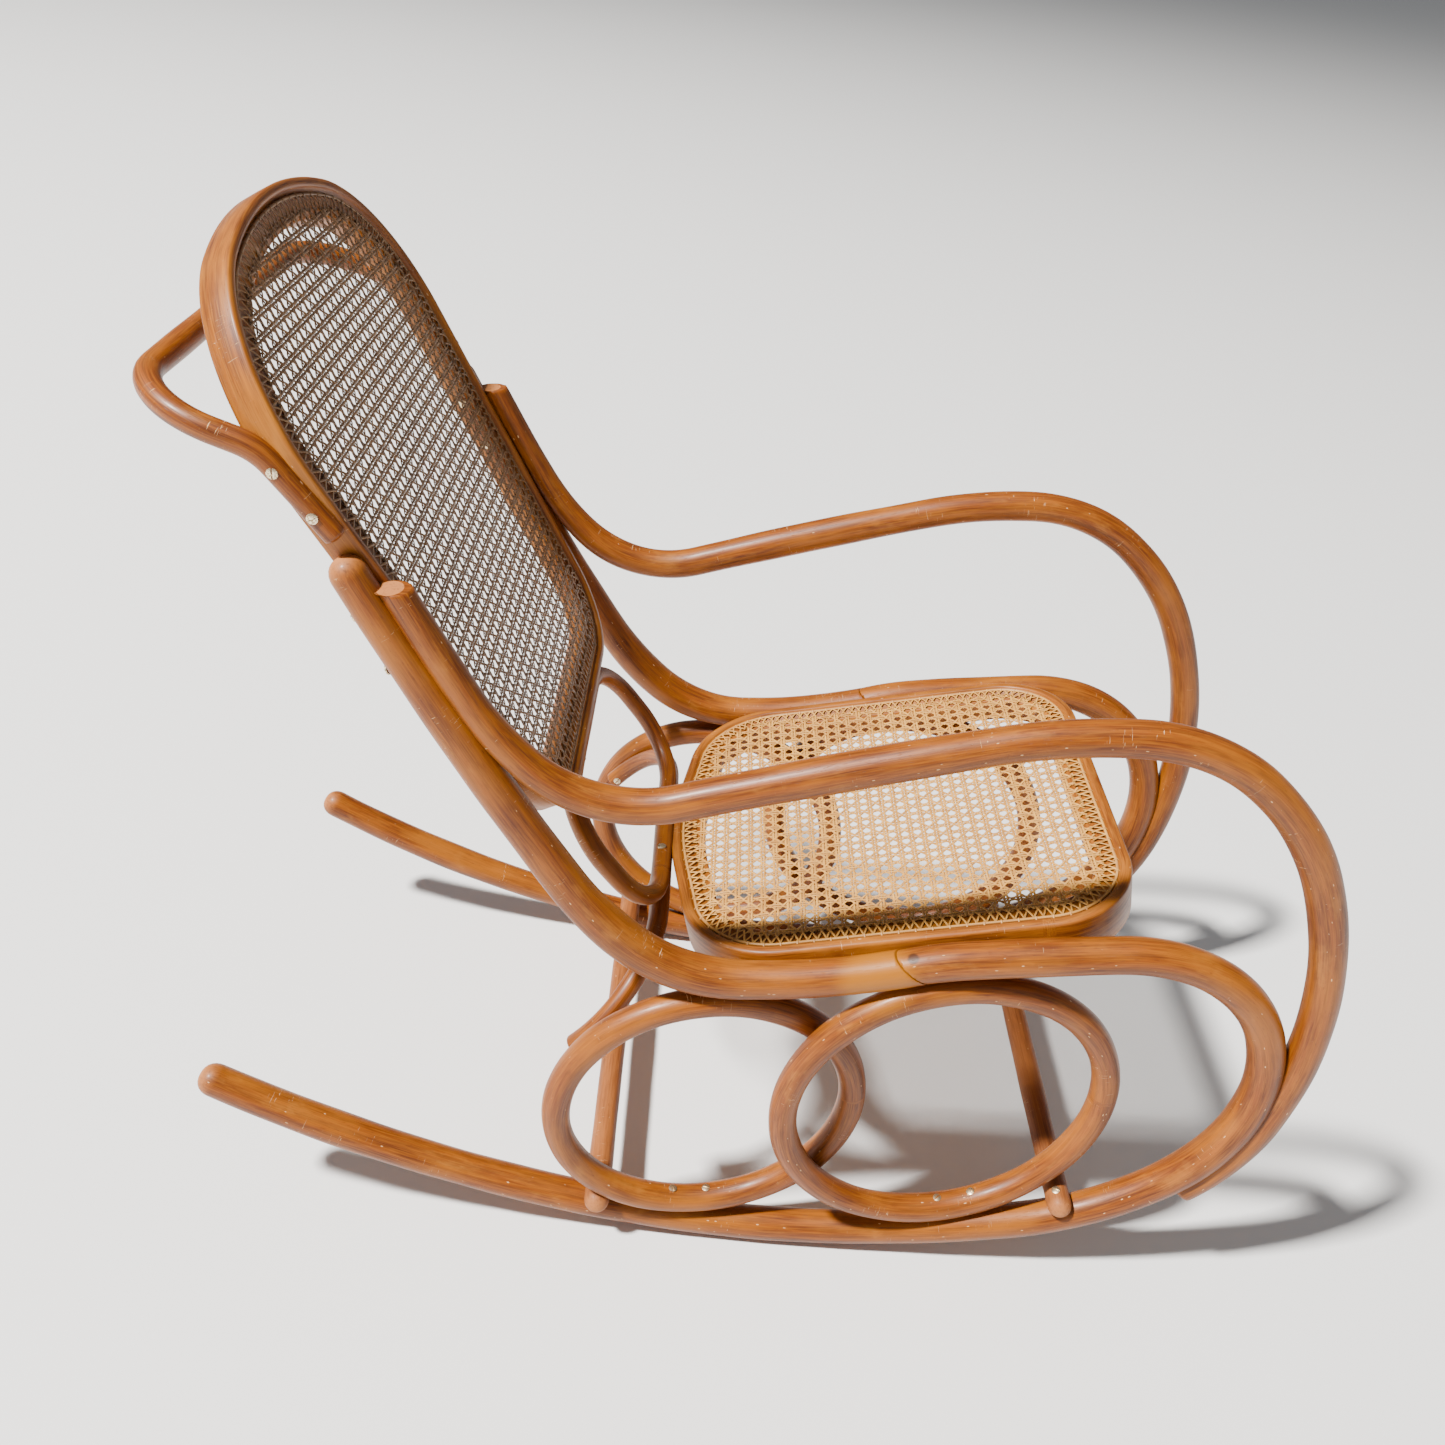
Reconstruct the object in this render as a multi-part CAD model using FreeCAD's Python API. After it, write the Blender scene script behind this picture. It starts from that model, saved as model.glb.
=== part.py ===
import FreeCAD, Part
import math
import os

# A bentwood rocking chair with a caned seat and a caned back.
# Millimetres.  +X is the way the sitter faces, +Y is the sitter's left, +Z is up.
# The origin is on the floor, midway between the front and back of the whole chair.
# Each side frame is first drawn flat, as a chain of bends in X and Z, and is then
# tipped about Y into the pose in which the empty chair balances on its rockers.

# the two side frames
side_half = 230.5            # centre plane of each side frame from the middle of the chair
frame_d = 36.0               # post, rail and runner rod
arm_d = 32.0                 # arm rod
ring_d = 29.0                # side ring rod
wood_weight = 0.70           # grams per cubic centimetre
cane_weight = 0.35           # woven sheet, air between the strands included
screw_weight = 7.9
touch = 0.2                  # air left between two pieces that are screwed together

post_top_x = -297.9          # top end of the back post
post_top_z = 812.5
post_heading = -67.2         # direction of the rod at that end, degrees from +X
post_r, post_turn = 3700.0, 5.2          # nearly straight back post
hip_r, hip_turn = 315.0, 16.7            # upper part of the bend into the rail
heel_r, heel_turn = 150.4, 44.8          # tight part of the same bend
rail_r, rail_turn = 614.7, 14.9          # rail rising to the scarf joint
scarf_slant = 52.0           # angle of the scarf face to the rod
knee_r, knee_turn = 300.0, 9.2           # rail easing off in front of the scarf
rail_run_r, rail_run_turn = 2570.0, 3.2  # nearly straight front of the rail
bow_r, bow_turn = 158.0, 74.1            # upper half of the front bow
chin_r, chin_turn = 200.6, 66.1          # lower half of the front bow
toe_r, toe_turn = 306.5, 31.0            # bow running into the rocker
rocker_r, rocker_turn = 959.7, 28.3      # rocker under the seat
tail_r, tail_turn = 1320.0, 17.7         # rocker behind the seat

arm_lap = 26.0               # arm rod centre in front of the post rod centre, at the top
arm_drop = 23.0              # middle of the arm's level top below the post's end
arm_top_r, arm_top_turn = 2290.0, 2.8
elbow_r, elbow_turn = 264.4, 16.8        # bend from the post into the arm rest
crook_r, crook_turn = 126.7, 62.2
rest_r, rest_turn = 5460.0, 2.8          # nearly straight arm rest
brow_r, brow_turn = 467.0, 14.4          # first easing over the front
wrist_r, wrist_turn = 182.7, 39.3        # tight bend at the front of the arm rest
fore_r, fore_turn = 292.8, 25.0          # front of the arm coming down
arm_tail_lap = 23.0          # arm rod centre below the runner rod centre, where they lie together
arm_tail_turn = 35.0         # degrees of the front bow that the arm follows
arm_tail_slant = 40.0        # slope of the feathered end of the arm to the rod
arm_foot_screw_at = (9.0, 27.0)          # degrees along that stretch

# the rings between rail and runner
ring_rear_x = -31.0          # middle of the rear ring
ring_front_x = 211.0         # middle of the front ring
ring_cross_gap = 1.0         # air between the two rings where they pass

# stretchers
stretcher_d = 27.0
stretcher_sink = 5.0         # depth of the saddle that seats a stretcher on the runner
stretcher_rear_x = -155.0
stretcher_front_x = 355.0
stretcher_rear_over = 31.5   # rounded ends past the side frame's centre plane
stretcher_front_over = 21.5

# seat
seat_tilt = 8.7              # degrees, front edge up
seat_x = 127.6               # point of the seat's top plane on the middle line
seat_over_rail = 20.5        # that point above the rail's centre line
seat_front = 257.0           # front edge from that point
seat_rear = 204.0            # rear edge from that point
seat_front_corner_r = 88.0
seat_rear_corner_r = 100.0
seat_rear_bow_r = 350.0
seat_rear_slope = 10.0       # degrees between the rear edge and a straight line across
seat_depth = 45.0
seat_lip = 11.0              # width of the raised edge outside the cane
seat_lip_h = 4.0
seat_rim = 36.0              # whole width of the wooden rim
seat_rim_t = 20.0
apron_t = 14.0               # band that hangs below the rim
cane_t = 2.0                 # woven cane sheet
cane_gap = 0.15
binder_w = 5.0               # flat strand that covers the row of holes
binder_t = 1.2

# back
back_lean = 24.8             # degrees behind upright
back_foot_x = -150.2         # bottom of the back frame's front face
back_foot_z = 536.6
back_height = 562.0
back_top_in = 8.5            # outside of the back frame inside the side frame's centre plane, at
back_top_half = side_half - back_top_in  # the height where the back is widest
back_top_at = 355.0          # height of that place up the back
back_bottom_in = 35.5        # the same at the bottom of the back
back_bottom_half = side_half - back_bottom_in
back_shoulder_r = 150.0
back_crown_r = 420.0
back_crown_slope = 16.0
back_bottom_r = 84.0
back_depth = 28.0
back_lip = 9.0
back_lip_h = 7.0
back_rim = 34.0

# small bends: head loop, back ring, seat bow
loop_d = 20.0
loop_leg_at = 345.0          # lower end of the loop's leg, up the back
loop_leg_behind = 11.0       # same place behind the front face
loop_leg_run = 80.0
loop_leg_heading = 122.8
loop_leg_t = 17.0            # thickness left where the leg is flattened on the back frame
loop_bend_r, loop_bend_turn = 50.0, 33.9
loop_reach = 100.0
loop_corner_r = 67.0
back_ring_d = 20.0
back_ring_half = 150.0
back_ring_corner_r = 66.0
bow_d = 20.0
bow_corner_r = 104.0
bow_on_ring = 141.6          # place on the rear ring where the bow's end lies, degrees
bow_drop = 20.0              # bow centre below the seat's top plane
bow_leg_run = 8.0            # straight end of the bow's leg

# screws
screw_d = 4.0
screw_head_d = 8.6
screw_head_h = 2.6
screw_sink = 0.6             # head below the wood
screw_slot_w = 1.2
screw_slot_h = 1.1
screw_air = 0.12             # air round a screw in its hole
ring_screw_pitch = 40.0
ring_screw_shift = 10.0      # both screws forward of the ring's contact with the runner
arm_screw_at = (32.0, 84.0)  # down the post from its top
loop_screw_at = (20.0, 62.0) # up the loop's leg from its end
back_screw_at = (250.0, 298.0)           # up the back
seat_screw_at = (-70.0, 90.0)            # along the seat
seat_screw_under = 26.0      # below the seat's top plane
ring_bar_screw_at = 45.0     # either side of the middle, through the back ring
thread_bite = 12.0           # length of screw in the second piece

X = FreeCAD.Vector(1, 0, 0)
Y = FreeCAD.Vector(0, 1, 0)
Z = FreeCAD.Vector(0, 0, 1)
frame_r = frame_d / 2.0
arm_r = arm_d / 2.0
ring_r = ring_d / 2.0
stretcher_r = stretcher_d / 2.0
loop_r = loop_d / 2.0
back_ring_r = back_ring_d / 2.0
bow_rod_r = bow_d / 2.0


def at(x, z, y=-side_half):
    return FreeCAD.Vector(x, y, z)


def heading_vector(degrees):
    a = math.radians(degrees)
    return FreeCAD.Vector(math.cos(a), 0, math.sin(a))


def arc_edge(start, heading, radius, turn):
    """Arc in the X-Z plane from start; a positive turn bends the heading towards +Z from +X."""
    side = 1.0 if turn > 0 else -1.0
    centre = start + heading_vector(heading + 90.0 * side) * radius
    spoke = heading_vector(heading - 90.0 * side) * radius
    half = FreeCAD.Rotation(Y, -turn / 2.0).multVec(spoke)
    full = FreeCAD.Rotation(Y, -turn).multVec(spoke)
    edge = Part.Arc(start, centre + half, centre + full).toShape()
    return edge, centre + full, heading + turn, centre


def chain(start, heading, bends):
    """Rod centre line from (radius, turn) bends and (length, 0) straights, end to end."""
    edges = []
    centres = []
    point = start
    for size, turn in bends:
        if turn:
            edge, point, heading, centre = arc_edge(point, heading, size, turn)
        else:
            nxt = point + heading_vector(heading) * size
            edge = Part.makeLine(point, nxt)
            point, centre = nxt, None
        edges.append(edge)
        centres.append(centre)
    return edges, point, heading, centres


def rounded_loop(corners):
    """Closed flat outline from (x, y, radius) corners joined by straight sides."""
    n = len(corners)
    edges = []
    last = None
    first = None
    for i in range(n):
        p0 = FreeCAD.Vector(corners[i - 1][0], corners[i - 1][1], 0)
        p1 = FreeCAD.Vector(corners[i][0], corners[i][1], 0)
        p2 = FreeCAD.Vector(corners[(i + 1) % n][0], corners[(i + 1) % n][1], 0)
        r = corners[i][2]
        a = (p0 - p1).normalize()
        b = (p2 - p1).normalize()
        half = a.getAngle(b) / 2.0
        back = r / math.tan(half)
        middle = p1 + (a + b).normalize() * (r / math.sin(half) - r)
        start = p1 + a * back
        end = p1 + b * back
        if last is not None:
            edges.append(Part.makeLine(last, start))
        else:
            first = start
        edges.append(Part.Arc(start, middle, end).toShape())
        last = end
    edges.append(Part.makeLine(last, first))
    return Part.Wire(edges)


def slab(outline, z0, z1):
    face = Part.Face(outline)
    face.translate(FreeCAD.Vector(0, 0, z0))
    return face.extrude(FreeCAD.Vector(0, 0, z1 - z0))


def inset(outline, distance):
    return outline.makeOffset2D(-distance, 0, False, False, False)


def mirrored(shape):
    return shape.mirror(FreeCAD.Vector(0, 0, 0), Y)


def slotted_screw(head, inward, length):
    """Countersunk slotted screw; head is the middle of its face, inward its axis."""
    head_r = screw_head_d / 2.0
    shank_r = screw_d / 2.0
    dome_h = screw_sink * 0.7
    cone = Part.makeCone(head_r, shank_r, screw_head_h, head, inward)
    shank = Part.makeCylinder(shank_r, length, head, inward)
    cap = Part.makeCone(head_r * 0.72, head_r, dome_h, head - inward * dome_h, inward)
    slot = Part.makeBox(screw_head_d * 1.2, screw_slot_w, screw_slot_h + dome_h)
    slot.translate(FreeCAD.Vector(-screw_head_d * 0.6, -screw_slot_w / 2.0, -dome_h))
    turned = FreeCAD.Placement(head, FreeCAD.Rotation(Z, inward))
    return cone.fuse([shank, cap]).removeSplitter().cut(placed(slot, turned))


def screw_hole(head, inward, length):
    head_r = screw_head_d / 2.0 + screw_air
    shank_r = screw_d / 2.0 + screw_air
    depth = screw_sink + 6.0
    mouth = Part.makeCylinder(head_r, depth, head - inward * depth, inward)
    cone = Part.makeCone(head_r, shank_r, screw_head_h + screw_air, head, inward)
    shank = Part.makeCylinder(shank_r, length + screw_air, head, inward)
    return mouth.fuse([cone, shank])


def placed(shape, place):
    shape = shape.copy()
    shape.Placement = place.multiply(shape.Placement)
    return shape


# side frame centre lines
post_start = at(post_top_x, post_top_z)
post_bends = [(post_r, post_turn), (hip_r, hip_turn), (heel_r, heel_turn), (rail_r, rail_turn)]
post_edges, scarf_point, scarf_heading, _ = chain(post_start, post_heading, post_bends)
runner_bends = [
    (knee_r, -knee_turn),
    (rail_run_r, -rail_run_turn),
    (bow_r, -bow_turn),
    (chin_r, -chin_turn),
    (toe_r, -toe_turn),
    (rocker_r, -rocker_turn),
    (tail_r, -tail_turn),
]
runner_edges, tail_point, tail_heading, runner_centres = chain(scarf_point, scarf_heading, runner_bends)
bow_centre = runner_centres[3]


# the arm's centre line
arm_heading = post_heading
arm_start = (post_start + heading_vector(post_heading) * arm_drop
             + heading_vector(post_heading + 90.0) * arm_lap)
arm_bends = [
    (arm_top_r, arm_top_turn),
    (elbow_r, elbow_turn),
    (crook_r, crook_turn),
    (rest_r, -rest_turn),
    (brow_r, -brow_turn),
    (wrist_r, -wrist_turn),
    (fore_r, -fore_turn),
]
arm_edges, fore_point, fore_heading, _ = chain(arm_start, arm_heading, arm_bends)
# The last bend runs tangent into a tail that follows the front bow at a fixed distance.
arm_tail_r = chin_r + arm_tail_lap
to_fore = fore_point - bow_centre
fore_side = heading_vector(fore_heading - 90.0)
shin_r = (arm_tail_r ** 2 - to_fore.dot(to_fore)) / (2.0 * (to_fore.dot(fore_side) + arm_tail_r))
shin_centre = fore_point + fore_side * shin_r
tail_spoke = (bow_centre - shin_centre).normalize()
tail_angle = math.degrees(math.atan2(tail_spoke.z, tail_spoke.x))
shin_turn = fore_heading - (tail_angle - 90.0)
arm_tail_bends = [(shin_r, -shin_turn), (arm_tail_r, -arm_tail_turn)]
arm_more, arm_end, arm_end_heading, _ = chain(fore_point, fore_heading, arm_tail_bends)
arm_edges += arm_more


def lined(edges, heading, start_lead, end_lead, end_heading):
    """The same centre line with short straights added before and after it."""
    first = edges[0].valueAt(edges[0].FirstParameter)
    last = edges[-1].valueAt(edges[-1].LastParameter)
    longer = list(edges)
    if start_lead:
        before = first - heading_vector(heading) * start_lead
        longer.insert(0, Part.makeLine(before, first))
    if end_lead:
        longer.append(Part.makeLine(last, last + heading_vector(end_heading) * end_lead))
    return longer


def tube(edges, radius):
    """Round rod along the edges, which run tangent into one another."""
    start = edges[0].valueAt(edges[0].FirstParameter)
    direction = edges[0].tangentAt(edges[0].FirstParameter)
    section = Part.Wire(Part.makeCircle(radius, start, direction))
    return Part.Wire(edges).makePipeShell([section], True, False)


def beyond(point, normal, size=160.0):
    """Block that fills everything on the far side of a plane, for cutting ends off."""
    block = Part.makeBox(size, size, size, FreeCAD.Vector(-size / 2.0, -size / 2.0, 0))
    block.Placement = FreeCAD.Placement(point, FreeCAD.Rotation(Z, normal))
    return block


scarf_normal = heading_vector(scarf_heading + 90.0 - scarf_slant)


def post_tube(grow):
    line = lined(post_edges, post_heading, 0, frame_d, scarf_heading)
    rod = tube(line, frame_r + grow)
    return rod.fuse(Part.makeSphere(frame_r + grow, post_start)).removeSplitter()


def runner_tube(grow):
    line = lined(runner_edges, scarf_heading, frame_d, 0, tail_heading)
    rod = tube(line, frame_r + grow)
    return rod.fuse(Part.makeSphere(frame_r + grow, tail_point)).removeSplitter()


def arm_tube():
    line = lined(arm_edges, arm_heading, arm_d, arm_d, arm_end_heading)
    rod = tube(line, arm_r)
    top = beyond(arm_start, Z)
    end = beyond(arm_end, heading_vector(arm_end_heading - 90.0 + arm_tail_slant))
    return rod.cut([top, end])


# the rings
over = Part.Compound(post_edges + runner_edges[:3])
under = Part.Compound(runner_edges[4:])


def ring_between(x):
    """Centre height and radius of the ring that just fits between rail and runner at x."""
    low, high = 60.0, 380.0
    for _ in range(50):
        z = (low + high) / 2.0
        spot = Part.Vertex(at(x, z))
        up = spot.distToShape(over)[0]
        down = spot.distToShape(under)[0]
        if down < up:
            low = z
        else:
            high = z
    return z, down - frame_r - ring_r - touch


ring_rear_z, ring_rear_r = ring_between(ring_rear_x)
ring_front_z, ring_front_r = ring_between(ring_front_x)
ring_spread = math.hypot(ring_front_x - ring_rear_x, ring_front_z - ring_rear_z)
cross_from_rear = (ring_rear_r ** 2 - ring_front_r ** 2 + ring_spread ** 2) / (2.0 * ring_spread)
cross_offset = (ring_d + ring_cross_gap) / 2.0
ring_rear_turn = math.degrees(math.asin(cross_offset / cross_from_rear))
ring_front_turn = math.degrees(math.asin(cross_offset / (ring_spread - cross_from_rear)))


def ring_shape(x, z, radius, turn, rod_r):
    axis = FreeCAD.Rotation(Z, turn).multVec(Y)
    ring = Part.makeTorus(radius, rod_r, at(x, z), axis)
    ring.rotate(at(x, z), axis, 90.0)
    return ring


def ring_spot(x, z, radius, turn, degrees):
    """Point at that angle on a side ring, and the way out from its centre."""
    out = heading_vector(degrees)
    out = FreeCAD.Rotation(Z, turn).multVec(out)
    return at(x, z) + out * radius, out


# stretchers
def stretcher_seat(x):
    """Middle of the rod that sits on the runner at x, the runner's normal, and the place."""
    ray = Part.makeLine(at(x, -50.0), at(x, 200.0))
    hit = ray.distToShape(under)[1][0][0]
    edge = min(under.Edges, key=lambda e: e.distToShape(Part.Vertex(hit))[0])
    tangent = edge.tangentAt(edge.Curve.parameter(hit))
    up = tangent.cross(Y).normalize()
    if up.z < 0:
        up = up * -1.0
    centre = hit + up * (frame_r + stretcher_r - stretcher_sink)
    return FreeCAD.Vector(centre.x, 0, centre.z), up, hit


def stretcher_shape(centre, half):
    reach = half - stretcher_r
    start = centre - Y * reach
    rod = Part.makeCylinder(stretcher_r, 2.0 * reach, start, Y)
    ends = [Part.makeSphere(stretcher_r, start), Part.makeSphere(stretcher_r, centre + Y * reach)]
    return rod.fuse(ends).removeSplitter()


# seat and back frames
seat_half = side_half - frame_r - touch
rail_here = Part.makeLine(at(seat_x, 0.0), at(seat_x, 900.0)).distToShape(over)[1][0][0]
seat_origin = FreeCAD.Vector(seat_x, 0, rail_here.z + seat_over_rail)
seat_place = FreeCAD.Placement(seat_origin, FreeCAD.Rotation(Y, -seat_tilt))
back_origin = FreeCAD.Vector(back_foot_x, 0, back_foot_z)
back_place = FreeCAD.Placement(back_origin, FreeCAD.Rotation(Y, -(90.0 + back_lean)))


def seat_outline():
    slope = math.tan(math.radians(seat_rear_slope))
    cut_back = seat_rear_bow_r * (1.0 / math.cos(math.radians(seat_rear_slope)) - 1.0)
    apex = -seat_rear - cut_back
    return rounded_loop([
        (seat_front, -seat_half, seat_front_corner_r),
        (seat_front, seat_half, seat_front_corner_r),
        (apex + seat_half * slope, seat_half, seat_rear_corner_r),
        (apex, 0.0, seat_rear_bow_r),
        (apex + seat_half * slope, -seat_half, seat_rear_corner_r),
    ])


def back_half(up):
    """Half width of the back frame at a height up its straight sides."""
    return back_bottom_half + (back_top_half - back_bottom_half) * up / back_top_at


def back_outline():
    slope = math.tan(math.radians(back_crown_slope))
    cut_back = back_crown_r * (1.0 / math.cos(math.radians(back_crown_slope)) - 1.0)
    apex = back_height + cut_back
    shoulder = back_half(apex)
    return rounded_loop([
        (0.0, -back_bottom_half, back_bottom_r),
        (apex - shoulder * slope, -shoulder, back_shoulder_r),
        (apex, 0.0, back_crown_r),
        (apex - shoulder * slope, shoulder, back_shoulder_r),
        (0.0, back_bottom_half, back_bottom_r),
    ])


def seat_parts():
    outline = seat_outline()
    lip = inset(outline, seat_lip)
    frame = slab(outline, -seat_depth, 0.0)
    frame = frame.cut(slab(inset(outline, seat_rim), -seat_depth - 1.0, 1.0))
    frame = frame.cut(slab(inset(outline, apron_t), -seat_depth - 1.0, -seat_rim_t))
    frame = frame.cut(slab(lip, -seat_lip_h, 1.0))
    edge = inset(lip, cane_gap)
    low = -seat_lip_h + cane_gap
    cane = slab(edge, low, low + cane_t)
    strip_low = low + cane_t + cane_gap
    strip = slab(edge, strip_low, strip_low + binder_t)
    strip = strip.cut(slab(inset(edge, binder_w), strip_low - 1.0, strip_low + binder_t + 1.0))
    return [placed(shape, seat_place) for shape in (frame, cane, strip)]


def back_parts():
    outline = back_outline()
    lip = inset(outline, back_lip)
    frame = slab(outline, 0.0, back_depth)
    frame = frame.cut(slab(inset(outline, back_rim), -1.0, back_depth + 1.0))
    frame = frame.cut(slab(lip, -1.0, back_lip_h))
    edge = inset(lip, cane_gap)
    high = back_lip_h - cane_gap
    cane = slab(edge, high - cane_t, high)
    strip_high = high - cane_t - cane_gap
    strip = slab(edge, strip_high - binder_t, strip_high)
    strip = strip.cut(slab(inset(edge, binder_w), strip_high - binder_t - 1.0, strip_high + 1.0))
    return [placed(shape, back_place) for shape in (frame, cane, strip)]


def back_envelope(air):
    """The solid block inside the back frame's outside, grown by a little air."""
    block = back_outline().makeOffset2D(air, 0, False, False, False)
    return placed(slab(block, -air, back_depth + air), back_place)


# the small bends
def turn_across(bend, direction, corner_r):
    """Quarter bend from direction into +Y, starting at bend, and half of the cross bar."""
    centre = bend + Y * corner_r
    middle = centre + (direction - Y) * (corner_r / math.sqrt(2.0))
    corner = centre + direction * corner_r
    bar = Part.makeLine(corner, FreeCAD.Vector(corner.x, 0, corner.z))
    return [Part.Arc(bend, middle, corner).toShape(), bar]


def both_halves(edges, radius):
    """Round rod along the edges and their mirror image, with rounded ends."""
    half = tube(edges, radius)
    end = Part.makeSphere(radius, edges[0].valueAt(edges[0].FirstParameter))
    near = half.fuse(end)
    return near.fuse(mirrored(near)).removeSplitter()


# Seat bow: its cross bar touches the rear of the seat frame, its legs lie on the rear rings.
bow_gap = bow_rod_r + touch
bow_cross = seat_place.multVec(FreeCAD.Vector(-seat_rear - bow_gap, 0, -bow_drop))
ring_back, _ = ring_spot(ring_rear_x, ring_rear_z, ring_rear_r, ring_rear_turn, bow_on_ring)
bow_leg_y = ring_back.y + ring_r + bow_gap
bow_way = FreeCAD.Vector(bow_cross.x - ring_back.x, 0, bow_cross.z - ring_back.z).normalize()
bow_bend = FreeCAD.Vector(bow_cross.x, bow_leg_y, bow_cross.z) - bow_way * bow_corner_r
bow_foot = bow_bend - bow_way * bow_leg_run
bow_edges = [Part.makeLine(bow_foot, bow_bend)] + turn_across(bow_bend, bow_way, bow_corner_r)

# Back ring: a closed rounded hoop between the seat bow and the bottom of the back frame.
ring_bottom = bow_cross + Z * (bow_rod_r + back_ring_r + touch)
ring_top = back_place.multVec(FreeCAD.Vector(-back_ring_r - touch, 0, back_depth * 0.7))
back_ring_up = (ring_top - ring_bottom).normalize()
back_ring_middle = (ring_top + ring_bottom) * 0.5
back_ring_rise = (ring_top - ring_bottom).Length / 2.0


def back_ring_shape():
    outline = rounded_loop([
        (-back_ring_rise, -back_ring_half, back_ring_corner_r),
        (back_ring_rise, -back_ring_half, back_ring_corner_r),
        (back_ring_rise, back_ring_half, back_ring_corner_r),
        (-back_ring_rise, back_ring_half, back_ring_corner_r),
    ])
    lean = math.degrees(math.atan2(back_ring_up.z, back_ring_up.x))
    outline = placed(outline, FreeCAD.Placement(back_ring_middle, FreeCAD.Rotation(Y, -lean)))
    return tube(outline.Edges, back_ring_r)


# Head loop: two flattened legs on the outsides of the back frame, a bend, and a cross bar.
leg_y = -(back_half(loop_leg_at) + touch + loop_leg_t - loop_r)
leg_end = back_place.multVec(FreeCAD.Vector(loop_leg_at, 0, loop_leg_behind))
leg_end = FreeCAD.Vector(leg_end.x, leg_y, leg_end.z)
loop_setback = loop_bend_r * math.tan(math.radians(loop_bend_turn / 2.0))
loop_bends = [
    (loop_leg_run - loop_setback, 0),
    (loop_bend_r, loop_bend_turn),
    (loop_reach - loop_setback - loop_corner_r, 0),
]
loop_edges, loop_bend_end, loop_heading, _ = chain(leg_end, loop_leg_heading, loop_bends)
loop_edges += turn_across(loop_bend_end, heading_vector(loop_heading), loop_corner_r)

# whole pieces, right-hand side first
post_full = post_tube(touch)
runner_full = runner_tube(touch)
back_block = back_envelope(touch)
post = post_tube(0.0).cut([beyond(scarf_point, scarf_normal), back_block])
clear_of_post = scarf_point + scarf_normal * touch
runner = runner_tube(0.0).cut(beyond(clear_of_post, scarf_normal * -1.0))
arm = arm_tube().cut([post_full, runner_full, back_block])
ring_rear = ring_shape(ring_rear_x, ring_rear_z, ring_rear_r, ring_rear_turn, ring_r)
ring_front = ring_shape(ring_front_x, ring_front_z, ring_front_r, ring_front_turn, ring_r)
ring_rear_full = ring_shape(ring_rear_x, ring_rear_z, ring_rear_r, ring_rear_turn, ring_r + touch)
rear_centre, rear_up, rear_hit = stretcher_seat(stretcher_rear_x)
front_centre, front_up, _ = stretcher_seat(stretcher_front_x)
rear_saddles = [runner_full, mirrored(runner_full), ring_rear_full, mirrored(ring_rear_full)]
front_saddles = [runner_full, mirrored(runner_full)]
stretcher_rear = stretcher_shape(rear_centre, side_half + stretcher_rear_over).cut(rear_saddles)
stretcher_front = stretcher_shape(front_centre, side_half + stretcher_front_over).cut(front_saddles)
seat_frame, seat_cane, seat_binder = seat_parts()
back_frame, back_cane, back_binder = back_parts()
head_loop = both_halves(loop_edges, loop_r).cut(back_block)
seat_bow = both_halves(bow_edges, bow_rod_r).cut([ring_rear_full, mirrored(ring_rear_full)])
back_ring = back_ring_shape()

# screws: where each starts, which way it goes and how long it is
ring_screws = []
for x, z, radius, turn in (
        (ring_rear_x, ring_rear_z, ring_rear_r, ring_rear_turn),
        (ring_front_x, ring_front_z, ring_front_r, ring_front_turn)):
    foot = Part.Vertex(at(x, z)).distToShape(under)[1][0][1]
    contact = math.degrees(math.atan2(foot.z - z, foot.x - x))
    for along in (ring_screw_shift - ring_screw_pitch / 2.0, ring_screw_shift + ring_screw_pitch / 2.0):
        spot, out = ring_spot(x, z, radius, turn, contact + math.degrees(along / radius))
        ring_screws.append((spot - out * (ring_r - screw_sink), out, ring_d + thread_bite))

arm_screws = []
for down in arm_screw_at:
    spot = post_start + heading_vector(post_heading) * down
    forward = heading_vector(post_heading + 90.0)
    arm_screws.append((spot - forward * (frame_r - screw_sink), forward, frame_d + thread_bite))

arm_foot_screws = []
for along in arm_foot_screw_at:
    inward = heading_vector(tail_angle - along + 180.0)
    spot = bow_centre - inward * (arm_tail_r + arm_r - screw_sink)
    through = arm_tail_r + arm_r - chin_r - frame_r
    arm_foot_screws.append((spot, inward, through + thread_bite))

down_front = front_up * -1.0
front_spot = at(front_centre.x, front_centre.z) + front_up * (stretcher_r - screw_sink)
rear_spot = at(rear_hit.x, rear_hit.z) - rear_up * (frame_r - screw_sink)
stretcher_screws = [
    (front_spot, down_front, stretcher_d + thread_bite),
    (rear_spot, rear_up, frame_d + thread_bite),
]

loop_screws = []
for up in loop_screw_at:
    spot = leg_end + heading_vector(loop_leg_heading) * up
    loop_screws.append((spot - Y * (loop_r - screw_sink), Y, loop_leg_t + thread_bite))

back_screws = []
for up in back_screw_at:
    start_y = back_half(up) - back_rim + screw_sink
    spot = back_place.multVec(FreeCAD.Vector(up, -start_y, back_depth * 0.6))
    back_screws.append((spot, Y * -1.0, back_rim + thread_bite))

seat_screws = []
for along in seat_screw_at:
    start_y = seat_half - apron_t + screw_sink
    spot = seat_place.multVec(FreeCAD.Vector(along, -start_y, -seat_screw_under))
    seat_screws.append((spot, Y * -1.0, apron_t + thread_bite))

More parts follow.
